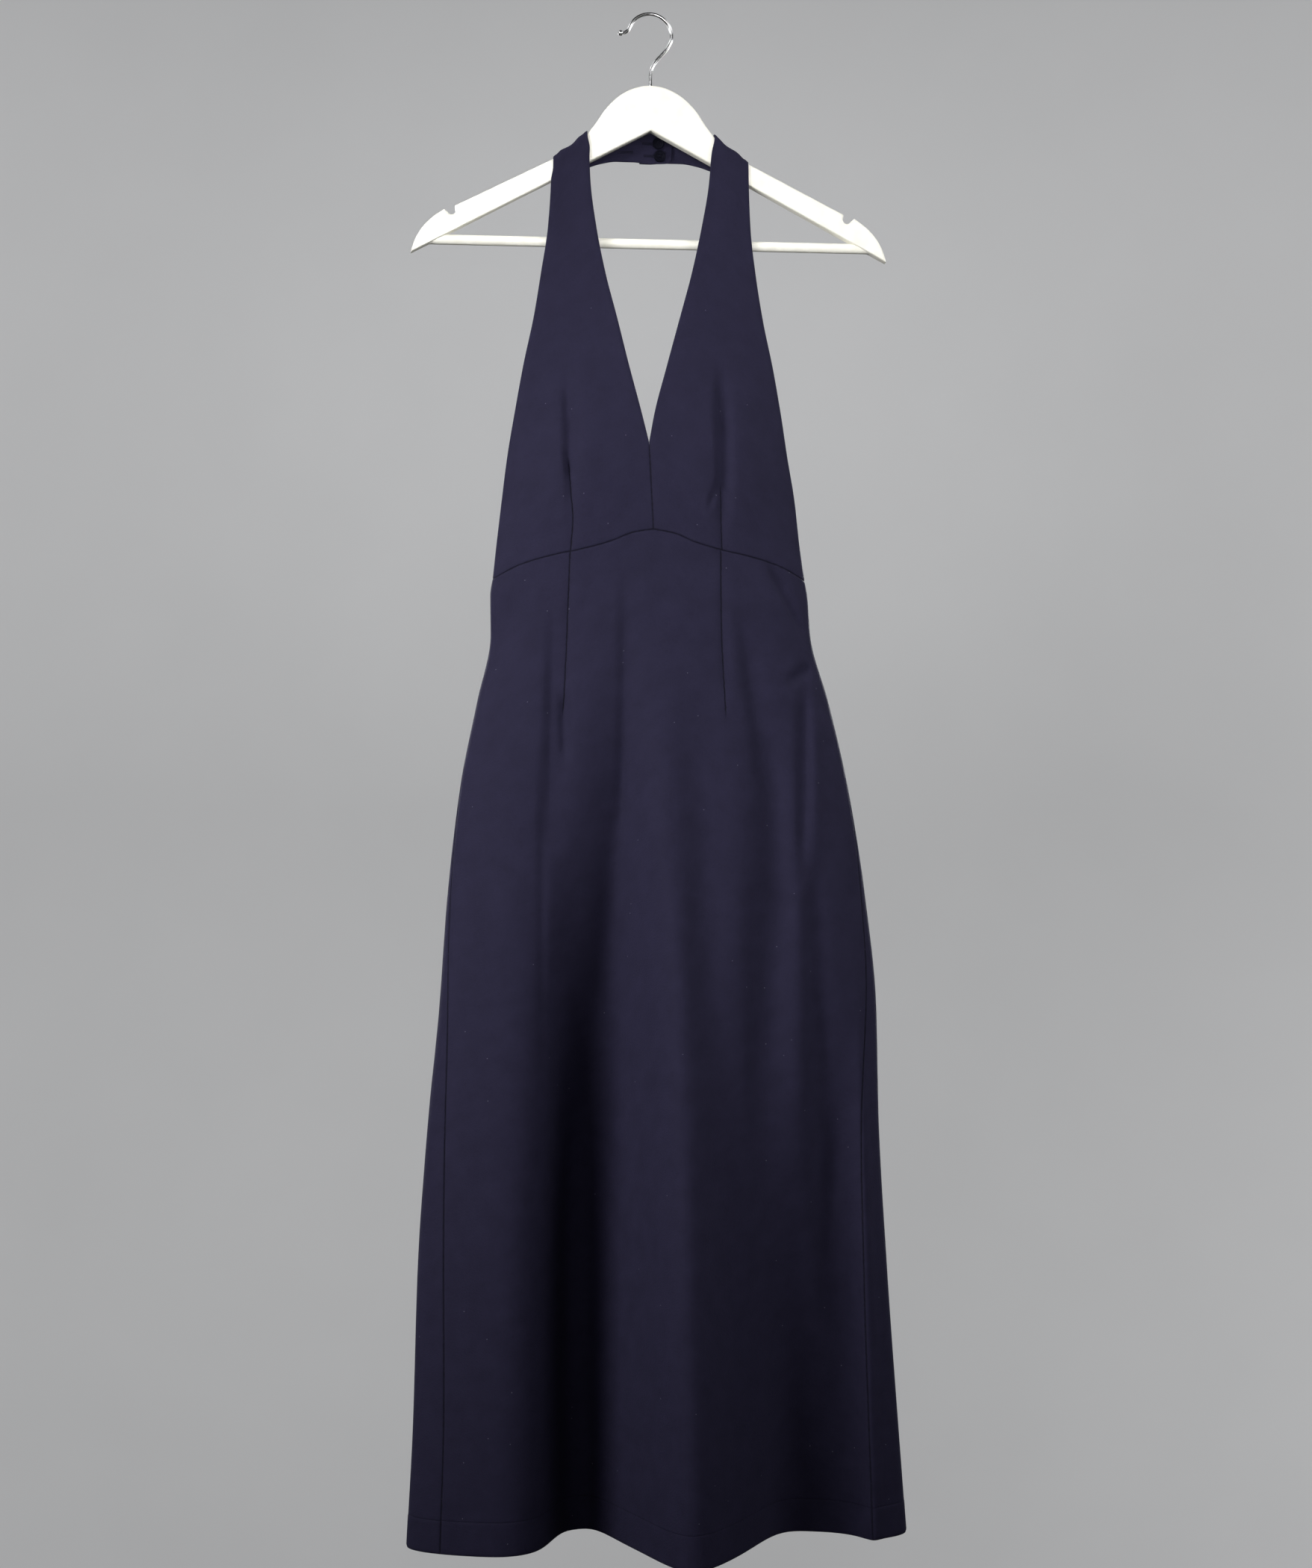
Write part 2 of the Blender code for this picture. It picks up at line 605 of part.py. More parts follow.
def make_hanger_body():
    """The flat wooden body: its outline cut from board, with softened edges."""
    right = hanger_outline()
    left = [(-x, z) for x, z in reversed(right[1:])]
    outline = right + [(0.0, ARCH_Z)] + left
    shape = bmesh.new()
    rings = []
    for face in (-1, 1):
        for degrees in (90.0, 45.0, 0.0)[::-face]:
            angle = math.radians(degrees)
            y = face * (HANGER_THICK / 2.0 - HANGER_ROUNDING * (1.0 - math.sin(angle)))
            edge = drawn_in(outline, HANGER_ROUNDING * (1.0 - math.cos(angle)))
            rings.append([shape.verts.new(Vector((x, y, z)) * MM) for x, z in edge])
    for before, after in zip(rings, rings[1:]):
        for i in range(len(outline)):
            j = (i + 1) % len(outline)
            shape.faces.new((before[i], before[j], after[j], after[i]))
    shape.faces.new(rings[0])
    shape.faces.new(rings[-1])
    bmesh.ops.recalc_face_normals(shape, faces=shape.faces)
    mesh = bpy.data.meshes.new("hanger_body")
    shape.to_mesh(mesh)
    shape.free()
    mesh.shade_smooth()
    mesh.set_sharp_from_angle(angle=math.radians(50.0))
    return add_object("hanger_body", mesh, "paint")


def make_hanger_bar():
    """The round bar, its slanted ends seated on the lower edges of the two arms."""
    slope = (TIP_Z - ARCH_Z) / TIP_X
    clear = SEAM_GAP * math.hypot(1.0, slope)
    shape = bmesh.new()
    sides = 16
    rings = []
    for side in (-1, 1):
        ring = []
        for i in range(sides):
            angle = 2.0 * math.pi * i / sides
            z = BAR_Z + BAR_R * math.sin(angle)
            reach = (z + clear - ARCH_Z) / slope
            ring.append(shape.verts.new(Vector((side * reach, BAR_R * math.cos(angle), z)) * MM))
        rings.append(ring)
    for i in range(sides):
        j = (i + 1) % sides
        shape.faces.new((rings[0][i], rings[0][j], rings[1][j], rings[1][i]))
    shape.faces.new(rings[0])
    shape.faces.new(rings[1])
    bmesh.ops.recalc_face_normals(shape, faces=shape.faces)
    mesh = bpy.data.meshes.new("hanger_bar")
    shape.to_mesh(mesh)
    shape.free()
    mesh.shade_smooth()
    mesh.set_sharp_from_angle(angle=math.radians(50.0))
    return add_object("hanger_bar", mesh, "paint")


def make_hanger_hook():
    """The bent wire: a stem, most of a circle, and a tip that is turned out and swollen into a ball."""
    centre_z = WIRE_R - HOOK_R
    route = [(point.x, point.z) for point in HOOK_STEM]
    for step in range(17):
        angle = math.radians(-8.0 + step * 10.5)
        route.append((HOOK_CENTRE_X + HOOK_R * math.cos(angle), centre_z + HOOK_R * math.sin(angle)))
    route += [(point.x, point.z) for point in HOOK_TIP]
    swell = [1.0] * len(route) + [HOOK_TIP_SWELL, HOOK_TIP_SWELL, 0.7]
    end_x, end_z = route[-1]
    route += [(end_x - 1.4, end_z - 0.1), (end_x - 2.8, end_z - 0.1), (end_x - 4.1, end_z)]
    line = bpy.data.curves.new("hanger_hook", "CURVE")
    line.dimensions = "3D"
    line.bevel_depth = WIRE_R * MM
    line.bevel_resolution = 2
    line.use_fill_caps = True
    spline = line.splines.new("POLY")
    spline.points.add(len(route) - 1)
    for point, (x, z), radius in zip(spline.points, route, swell):
        point.co = (x * MM, 0.0, z * MM, 1.0)
        point.radius = radius
    made = bpy.data.objects.new("hanger_hook", line)
    bpy.context.scene.collection.objects.link(made)
    line.materials.append(material("hanger_hook", "wire"))
    return made


clear_scene()
make_bodice("bodice_left", -1, LAP_END, False)
make_bodice("bodice_right", 1, UNDER_END, True)
make_skirt_front()
make_skirt_back()
make_button("button_lower", 10.0, -129.6)
make_button("button_upper", 8.4, -117.9)
make_hanger_body()
make_hanger_bar()
make_hanger_hook()
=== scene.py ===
"""A halter dress hanging on a wooden hanger: its looks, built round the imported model.

Tables are in millimetres and pieces are in metres, in the part's own frame: the origin is the inside top of the
hanger's hook, +Z is up and the dress faces -Y. Left and right are as seen from the front.
"""

import math
from collections import namedtuple

import bmesh
import bpy
import numpy as np
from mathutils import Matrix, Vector


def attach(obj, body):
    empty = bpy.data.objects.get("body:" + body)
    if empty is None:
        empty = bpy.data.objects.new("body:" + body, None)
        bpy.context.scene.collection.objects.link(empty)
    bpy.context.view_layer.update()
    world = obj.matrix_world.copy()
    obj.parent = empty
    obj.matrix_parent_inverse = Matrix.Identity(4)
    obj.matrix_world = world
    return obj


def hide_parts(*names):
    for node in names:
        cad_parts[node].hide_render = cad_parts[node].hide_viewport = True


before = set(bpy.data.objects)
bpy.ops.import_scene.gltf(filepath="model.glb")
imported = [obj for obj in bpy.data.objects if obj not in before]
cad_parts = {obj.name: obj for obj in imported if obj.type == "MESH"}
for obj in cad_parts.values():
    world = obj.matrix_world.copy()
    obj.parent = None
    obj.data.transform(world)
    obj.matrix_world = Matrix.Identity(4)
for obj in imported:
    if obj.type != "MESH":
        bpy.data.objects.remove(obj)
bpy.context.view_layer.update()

# Halter panels
# Two panels of dark navy double knit, each cut in one with its strap. They are sewn together under the V, have one
# bust dart each, run over the hanger's arms and lap behind the neck. Their edges are turned in and faced.

MM = 0.001
CLOTH_THICK = 1.6
EDGE_TURN = 0.5
EDGE_TURN_REACH = 1.1
EDGE_ROWS = np.array([0.0, 0.5, 1.1, 1.9, 2.9])
FIRST_EVEN_ROW = 4.2
HEM_DEPTH = 30.0
HEM_SWELL_OUT = 0.25
HEM_SWELL_IN = 0.9
FAR_AWAY = 50.0
NO_HEM = 1000.0

SIDE_TOP_Z = -531.0
V_POINT_Z = -405.6
STRAP_INNER_Z = -140.0
STRAP_OUTER_Z = -160.0
HEM_Z = -1431.0
CENTRE_SEAM_FOOT_X = -1.3
LAP_FACE_Y = 13.0

HALTER_COLUMNS = 84
HALTER_ROW_STEP = 3.2
STRAP_ROW_STEP = 1.2
ROW_SAMPLES = 400

# Outline and depth of the body at each height: outermost x left and right, how far the front and the back stand
# from the side edges, the side edges' y, and the roundness of the section (0.5 is an ellipse, 1 a parabola)
Section = namedtuple("Section", "z left right front back edge_y roundness")
SECTIONS = [
    Section(-130.0, -93.6, 91.9, 0.4, 0.0, -8.0, 1.00),
    Section(-160.0, -94.3, 92.4, 0.8, 0.0, -8.2, 1.00),
    Section(-202.0, -97.2, 94.1, 4.0, 0.0, -9.0, 1.00),
    Section(-244.0, -103.6, 98.8, 8.5, 0.0, -9.8, 1.00),
    Section(-287.0, -110.7, 105.7, 13.5, 0.0, -10.0, 1.00),
    Section(-332.0, -120.4, 115.5, 19.0, 0.0, -9.0, 1.00),
    Section(-374.0, -128.1, 123.3, 24.5, 0.0, -7.5, 1.00),
    Section(-415.0, -135.0, 129.9, 29.5, 0.0, -6.0, 0.95),
    Section(-457.0, -140.4, 137.3, 33.5, 0.0, -4.0, 0.80),
    Section(-498.0, -145.2, 141.9, 36.5, 0.0, -2.0, 0.62),
    Section(-531.0, -148.6, 146.8, 38.5, 34.0, 0.0, 0.50),
    Section(-546.0, -150.7, 149.4, 39.5, 35.0, 0.0, 0.50),
    Section(-583.0, -150.3, 152.2, 42.0, 38.0, 0.0, 0.50),
    Section(-645.0, -162.7, 169.4, 47.0, 45.0, 0.0, 0.50),
    Section(-722.0, -178.0, 187.4, 52.0, 52.0, 0.0, 0.50),
    Section(-828.0, -190.5, 204.6, 56.0, 58.0, 0.0, 0.50),
    Section(-933.0, -198.2, 215.4, 59.0, 62.0, 0.0, 0.50),
    Section(-1038.0, -208.6, 217.6, 61.0, 65.0, -0.5, 0.50),
    Section(-1178.0, -218.3, 225.5, 62.0, 68.0, -1.0, 0.50),
    Section(-1319.0, -222.5, 235.6, 62.0, 71.0, -1.5, 0.50),
    Section(-1431.0, -228.5, 244.0, 62.0, 73.0, -2.0, 0.50),
]

# Neckline: x of the left and right panels' inner edges, which meet at the point of the V
Neckline = namedtuple("Neckline", "z left right")
NECKLINE = [
    Neckline(-100.0, -58.6, 57.6),
    Neckline(-140.0, -58.0, 56.0),
    Neckline(-159.0, -57.2, 54.4),
    Neckline(-202.0, -52.0, 46.8),
    Neckline(-245.0, -44.1, 37.0),
    Neckline(-288.0, -33.6, 25.0),
    Neckline(-334.0, -22.8, 12.1),
    Neckline(-376.0, -12.2, 0.6),
    Neckline(V_POINT_Z, -5.2, -5.2),
]

# The arched empire seam: share of the half width from centre front, and height
SeamPoint = namedtuple("SeamPoint", "share z")
EMPIRE_SEAM = [
    SeamPoint(0.00, -486.3),
    SeamPoint(0.13, -489.5),
    SeamPoint(0.28, -498.0),
    SeamPoint(0.43, -504.0),
    SeamPoint(0.66, -511.0),
    SeamPoint(0.83, -518.3),
    SeamPoint(1.00, SIDE_TOP_Z),
]

# Folds: side 1 is the front and -1 the back, x and half width where the fold starts and at the hem, rise outwards
# (a valley is negative), and the heights where it starts, is full and has died away (0 runs out through the hem)
Fold = namedtuple("Fold", "name side x_top x_hem width_top width_hem rise start_z full_z end_z")
FOLDS = [
    Fold("left shoulder", 1, -104.0, -101.0, 13.0, 20.0, -18.0, -620.0, -1200.0, 0.0),
    Fold("left valley", 1, -82.0, -81.0, 12.0, 14.0, -50.0, -720.0, -1250.0, 0.0),
    Fold("left valley floor", 1, -61.0, -54.0, 21.0, 17.0, -80.0, -600.0, -1180.0, 0.0),
    Fold("inner left valley", 1, -32.0, -21.0, 16.0, 21.0, -48.0, -560.0, -1000.0, 0.0),
    Fold("centre ridge", 1, 8.0, 20.0, 19.0, 36.0, 54.0, -540.0, -1300.0, 0.0),
    Fold("right side valley", 1, 158.0, 180.0, 14.0, 20.0, -20.0, -860.0, -1180.0, 0.0),
    Fold("right side ridge", 1, 192.0, 206.0, 6.0, 7.0, 9.0, -860.0, -1150.0, 0.0),
    Fold("right of centre ridge", 1, 74.0, 74.0, 16.0, 18.0, 7.0, -600.0, -850.0, -1250.0),
    Fold("right dip", 1, 106.0, 98.0, 11.0, 16.0, -7.0, -640.0, -900.0, -1250.0),
    Fold("right ridge", 1, 132.0, 138.0, 11.0, 16.0, 6.0, -620.0, -900.0, -1250.0),
    Fold("right valley", 1, 128.0, 132.0, 20.0, 31.0, -58.0, -960.0, -1445.0, 0.0),
    Fold("left cup", 1, -74.0, -74.0, 33.0, 33.0, 7.0, -300.0, -432.0, -520.0),
    Fold("right cup", 1, 70.0, 70.0, 33.0, 33.0, 7.0, -300.0, -432.0, -520.0),
    Fold("back left ridge", -1, -88.0, -112.0, 24.0, 36.0, 30.0, -620.0, -1400.0, 0.0),
    Fold("back centre valley", -1, -4.0, -14.0, 22.0, 32.0, -40.0, -600.0, -1400.0, 0.0),
    Fold("back right ridge", -1, 84.0, 98.0, 24.0, 38.0, 27.0, -660.0, -1400.0, 0.0),
    Fold("back right valley", -1, 150.0, 172.0, 18.0, 26.0, -18.0, -760.0, -1400.0, 0.0),
]
FOLD_EDGE_FADE = 0.35

# Smaller creases: a line from its top to its foot, half width and rise. lean makes its right side that much wider.
Crease = namedtuple("Crease", "name side x_top z_top x_foot z_foot width rise lean", defaults=(1.0,))
CREASES = [
    Crease("above left bust dart", 1, -80.5, -332.0, -77.0, -478.0, 3.8, -5.6, 1.5),
    Crease("above right bust dart", 1, 64.0, -322.0, 64.5, -492.0, 4.2, -7.6, 1.3),
    Crease("beside right bust dart", 1, 63.0, -434.0, 49.0, -470.0, 2.4, -2.8),
    Crease("left dart hook", 1, -83.0, -408.0, -77.0, -442.0, 2.4, -2.4),
    Crease("left bust dart", 1, -79.0, -420.0, -77.0, -520.0, 3.0, -1.0),
    Crease("right bust dart", 1, 62.5, -440.0, 63.0, -520.0, 3.0, -1.0),
    Crease("left skirt dart", 1, -78.0, -500.0, -84.5, -668.0, 3.5, -1.3),
    Crease("right skirt dart", 1, 62.0, -500.0, 65.5, -664.0, 3.5, -1.2),
    Crease("left dart end", 1, -84.7, -630.0, -83.0, -712.0, 3.4, -4.6),
    Crease("left of dart end", 1, -92.0, -540.0, -99.0, -820.0, 5.0, -6.0, 2.4),
    Crease("centre waist dip", 1, -26.0, -500.0, -30.0, -800.0, 5.0, -4.4, 2.2),
    Crease("centre upper dip", 1, -30.0, -640.0, -36.0, -960.0, 12.0, -3.2),
    Crease("right of centre dip", 1, 33.0, -600.0, 46.0, -1010.0, 15.0, -3.6),
    Crease("right hip slant", 1, 104.0, -505.0, 147.0, -590.0, 2.8, -4.4, 2.0),
    Crease("right hip slant ridge", 1, 118.0, -532.0, 150.0, -584.0, 6.0, 1.8),
    Crease("right hip dimple", 1, 122.0, -630.0, 154.0, -610.0, 3.2, -4.8),
    Crease("right hip crease", 1, 143.0, -600.0, 137.0, -830.0, 4.6, -5.0),
    Crease("right thigh crease", 1, 147.0, -770.0, 155.0, -1060.0, 8.0, -6.5),
    Crease("right lower crease", 1, 156.0, -990.0, 184.0, -1300.0, 11.0, -7.0),
    Crease("right hip lit ridge", 1, 153.0, -612.0, 151.0, -810.0, 6.0, 3.0),
    Crease("right long dip top", 1, 80.0, -545.0, 106.0, -745.0, 6.0, -5.0, 1.9),
    Crease("right long dip", 1, 106.0, -650.0, 120.0, -905.0, 9.0, -5.0),
    Crease("left long crease", 1, -105.0, -640.0, -104.0, -1040.0, 3.2, -1.5),
    Crease("ridge foot crease", 1, -37.0, -890.0, -36.0, -1150.0, 4.0, -1.8),
    Crease("left hip dip", 1, -133.0, -536.0, -141.0, -610.0, 13.0, -2.6),
    Crease("lower right dip", 1, 92.0, -930.0, 93.0, -1030.0, 5.0, -2.2),
    Crease("back left hip slant", -1, -96.0, -548.0, -136.0, -640.0, 9.0, -2.2),
    Crease("back right hip slant", -1, 92.0, -546.0, 134.0, -632.0, 9.0, -2.4),
    Crease("back left long dip", -1, -52.0, -600.0, -60.0, -940.0, 13.0, -3.0),
    Crease("back right long dip", -1, 46.0, -600.0, 52.0, -960.0, 12.0, -2.6),
    Crease("back waist dip", -1, -6.0, -550.0, -4.0, -680.0, 9.0, -1.6),
]

# Darts: points of each stitched line, from the seam to the dart's end
DartPoint = namedtuple("DartPoint", "x z")
BUST_DARTS = {
    -1: [DartPoint(-77.9, -508.0), DartPoint(-75.9, -478.0), DartPoint(-77.6, -450.0), DartPoint(-79.2, -424.0)],
    1: [DartPoint(63.4, -508.0), DartPoint(62.4, -480.0), DartPoint(62.2, -446.0)],
}
DART_FADE = 9.0

# The strap from the hanger's front, over its arm and round the back of the neck, for the right side. follow is how
# closely a row lies along the arm's curved top, and under_y is the depth of the band that lies under the lap.
StrapRow = namedtuple("StrapRow", "name outer_x outer_z inner_x inner_z y under_y follow")
STRAP_ROWS = [
    StrapRow("foot", 92.4, -160.0, 56.0, -140.0, -8.2, -8.2, 0.0),
    StrapRow("on the arm", 92.2, -150.0, 57.4, -128.0, -8.0, -8.0, 0.5),
    StrapRow("front corner", 92.1, -141.5, 59.8, -117.1, -8.0, -8.0, 1.0),
    StrapRow("front rounding", 92.0, -136.5, 60.4, -111.9, -6.4, -6.4, 1.0),
    StrapRow("front of top", 91.9, -135.2, 60.6, -110.3, -2.6, -2.6, 1.0),
    StrapRow("back of top", 91.7, -135.2, 60.6, -110.3, 2.6, 2.6, 1.0),
    StrapRow("back rounding", 91.4, -136.5, 60.4, -111.9, 6.4, 6.4, 1.0),
    StrapRow("back corner", 90.8, -140.5, 59.6, -115.8, 8.2, 8.2, 1.0),
    StrapRow("turn 1", 87.0, -144.4, 57.4, -114.1, 8.8, 8.8, 0.6),
    StrapRow("turn 2", 80.0, -146.3, 53.8, -111.2, 9.5, 9.6, 0.3),
    StrapRow("turn 3", 71.0, -146.0, 49.5, -108.4, 10.3, 10.6, 0.0),
    StrapRow("turn 4", 60.0, -143.0, 43.0, -105.6, 11.2, 12.0, 0.0),
    StrapRow("nape 1", 47.0, -138.5, 34.5, -103.6, 11.9, 13.6, 0.0),
    StrapRow("nape 2", 31.0, -135.6, 25.5, -102.4, 12.6, 15.0, 0.0),
    StrapRow("nape 3", 15.0, -135.6, 13.0, -101.8, LAP_FACE_Y, 15.0, 0.0),
    StrapRow("centre back", 0.0, -136.8, 0.0, -101.5, LAP_FACE_Y, 15.0, 0.0),
]
UNDER_END = [
    StrapRow("under end", -9.0, -136.6, -9.0, -101.7, LAP_FACE_Y, 15.0, 0.0),
]
LAP_END = [
    StrapRow("lap 1", -9.0, -136.6, -9.0, -101.7, LAP_FACE_Y, 15.0, 0.0),
    StrapRow("lap 2", -16.0, -136.2, -16.0, -102.0, LAP_FACE_Y, 15.0, 0.0),
    StrapRow("lap rounding", -19.6, -135.0, -19.6, -103.0, LAP_FACE_Y, 15.0, 0.0),
    StrapRow("lap corner", -21.4, -132.6, -21.4, -105.4, LAP_FACE_Y, 15.0, 0.0),
    StrapRow("lap end", -22.0, -129.6, -22.0, -108.4, LAP_FACE_Y, 15.0, 0.0),
]
STRAP_LUMP = 1.5
STRAP_LUMP_FROM = 14.0
STRAP_LUMP_TO = 62.0
STRAP_LUMP_FADE = 12.0
STRAP_SETTLES = 16.0
RIPPLE_FADE = 60.0

HANGER_TOP_Z = -67.1


def smooth_curve(keys, values):
    """A smooth function through the given values, which never swings past them."""
    order = np.argsort(keys)
    keys = np.array(keys, float)[order]
    values = np.array(values, float)[order]
    rises = np.diff(values) / np.diff(keys)
    product = rises[:-1] * rises[1:]
    total = np.where(product > 0.0, rises[:-1] + rises[1:], 1.0)
    slopes = np.concatenate([rises[:1], np.where(product > 0.0, 2.0 * product / total, 0.0), rises[-1:]])

    def at(key):
        key = np.clip(key, keys[0], keys[-1])
        i = np.clip(np.searchsorted(keys, key, side="right") - 1, 0, len(keys) - 2)
        span = keys[i + 1] - keys[i]
        t = (key - keys[i]) / span
        turned = slopes[i] * span * t * (1.0 - t) ** 2 + slopes[i + 1] * span * t * t * (t - 1.0)
        return values[i] + (values[i + 1] - values[i]) * t * t * (3.0 - 2.0 * t) + turned

    return at


def table_curve(table, key, column):
    return smooth_curve([getattr(row, key) for row in table], [getattr(row, column) for row in table])


LEFT = table_curve(SECTIONS, "z", "left")
RIGHT = table_curve(SECTIONS, "z", "right")
FRONT = table_curve(SECTIONS, "z", "front")
BACK = table_curve(SECTIONS, "z", "back")
EDGE_Y = table_curve(SECTIONS, "z", "edge_y")
ROUNDNESS = table_curve(SECTIONS, "z", "roundness")
NECK = {-1: table_curve(NECKLINE, "z", "left"), 1: table_curve(NECKLINE, "z", "right")}
SEAM_HEIGHT = table_curve(EMPIRE_SEAM, "share", "z")


def ease(value):
    value = np.clip(value, 0.0, 1.0)
    return value * value * (3.0 - 2.0 * value)


def blend(start, end, share):
    return start + (end - start) * share


def fold_rise(fold, x, z):
    """How far one long fold lifts the cloth at x and z."""
    grown = ease((fold.start_z - z) / (fold.start_z - fold.full_z))
    if fold.end_z:
        dying = 1.0 - ease((fold.full_z - z) / (fold.full_z - fold.end_z))
        grown = np.where(z < fold.full_z, dying, grown)
    run = np.clip((fold.start_z - z) / (fold.start_z - HEM_Z), 0.0, 1.0)
    centre = blend(fold.x_top, fold.x_hem, run)
    width = blend(fold.width_top, fold.width_hem, run)
    return fold.rise * grown * np.exp(-0.5 * ((x - centre) / width) ** 2)


def crease_rise(crease, x, z):
    """How far one small crease lifts the cloth at x and z. It fades towards both its ends."""
    along_x = crease.x_foot - crease.x_top
    along_z = crease.z_foot - crease.z_top
    length = math.hypot(along_x, along_z)
    run = ((x - crease.x_top) * along_x + (z - crease.z_top) * along_z) / length ** 2
    aside = ((x - crease.x_top) * along_z - (z - crease.z_top) * along_x) / length
    taper = ease(3.0 * np.minimum(run, 1.0 - run))
    width = np.where(aside < 0.0, crease.width * crease.lean, crease.width)
    return crease.rise * taper * np.exp(-0.5 * (aside / width) ** 2)


def ripple(x, z):
    """The slight unevenness of cloth that has hung for a while."""
    broad = np.sin(x / 31.0 + 1.7 * np.sin(z / 83.0)) * np.sin(z / 57.0 + 1.1 * np.sin(x / 44.0 + 2.0))
    fine = np.sin(x / 11.0 + 2.1 * np.sin(z / 37.0 + 0.6)) * np.sin(z / 23.0 + 1.4 * np.sin(x / 19.0))
    return 0.45 * broad + 0.10 * fine


def body_points(angle, z):
    """Points of the cloth's outer face: angle 0 is centre front, 90 degrees the right side, 180 centre back."""
    left = LEFT(z)
    right = RIGHT(z)
    across = np.sin(angle)
    along = np.cos(angle)
    side = np.where(along >= 0.0, 1, -1)
    x = (left + right) / 2.0 + (right - left) / 2.0 * across
    out = np.where(side == 1, FRONT(z), BACK(z)) * np.abs(along) ** (2.0 * ROUNDNESS(z))
    fade = ease(np.abs(along) / FOLD_EDGE_FADE)
    for fold in FOLDS:
        out = out + np.where(side == fold.side, fade * fold_rise(fold, x, z), 0.0)
    for crease in CREASES:
        out = out + np.where(side == crease.side, fade * crease_rise(crease, x, z), 0.0)
    out = out + fade * ripple(x, z) * ease((STRAP_OUTER_Z - z) / RIPPLE_FADE)
    return np.stack(np.broadcast_arrays(x, EDGE_Y(z) - side * out, z), axis=-1)


def angle_at_x(x, z):
    """The angle on the front at which the body has the given x."""
    left = LEFT(z)
    right = RIGHT(z)
    return np.arcsin(np.clip((x - (left + right) / 2.0) / ((right - left) / 2.0), -1.0, 1.0))


def inner_x(side, z):
    """Where a halter panel's inner edge lies: along the neckline, and along the centre seam below the V."""
    if z > V_POINT_Z:
        return NECK[side](z)
    foot_z = EMPIRE_SEAM[0].z
    return blend(CENTRE_SEAM_FOOT_X, NECK[side](V_POINT_Z), (z - foot_z) / (V_POINT_Z - foot_z))


def edge_steps(length, count):
    """Distances along a piece of cloth: close together at both ends, where it turns in, and even between."""
    even = np.linspace(FIRST_EVEN_ROW, length - FIRST_EVEN_ROW, count)
    return np.concatenate([EDGE_ROWS, even, length - EDGE_ROWS[::-1]])


def run_lengths(points):
    """How far along a line each of its points is."""
    steps = np.linalg.norm(np.diff(points, axis=0), axis=-1)
    return np.concatenate([np.zeros((1,) + steps.shape[1:]), np.cumsum(steps, axis=0)])


def row_angles(first, last, height, count):
    """Angles that part a row's cloth from first to last, on a row whose height may change along it."""
    angles = np.linspace(first, last, ROW_SAMPLES)
    lengths = run_lengths(body_points(angles, height(angles)))
    return np.interp(edge_steps(lengths[-1], count), lengths, angles)


def cloth_normals(points, outward):
    """Outward directions on a grid of points; outward is the direction of the first row's middle point."""
    across = np.gradient(points, axis=1)
    up = np.gradient(points, axis=0)
    normals = np.cross(across, up)
    normals /= np.linalg.norm(normals, axis=-1, keepdims=True)
    middle = normals[0, normals.shape[1] // 2]
    return normals if middle.dot(outward) > 0.0 else -normals


def dart_distance(lines, points):
    """Signed distance across to the nearest dart line, and how strongly it shows, at each point."""
    x = points[..., 0]
    z = points[..., 2]
    nearest = np.full(x.shape, FAR_AWAY)
    shown = np.zeros(x.shape)
    for line in lines:
        heights = [point.z for point in line]
        aside = x - smooth_curve(heights, [point.x for point in line])(z)
        inside = np.minimum(z - min(heights), max(heights) - z)
        closer = np.abs(aside) < np.abs(nearest)
        nearest = np.where(closer, aside, nearest)
        shown = np.where(closer, ease((inside + DART_FADE / 2.0) / DART_FADE), shown)
    return nearest, shown


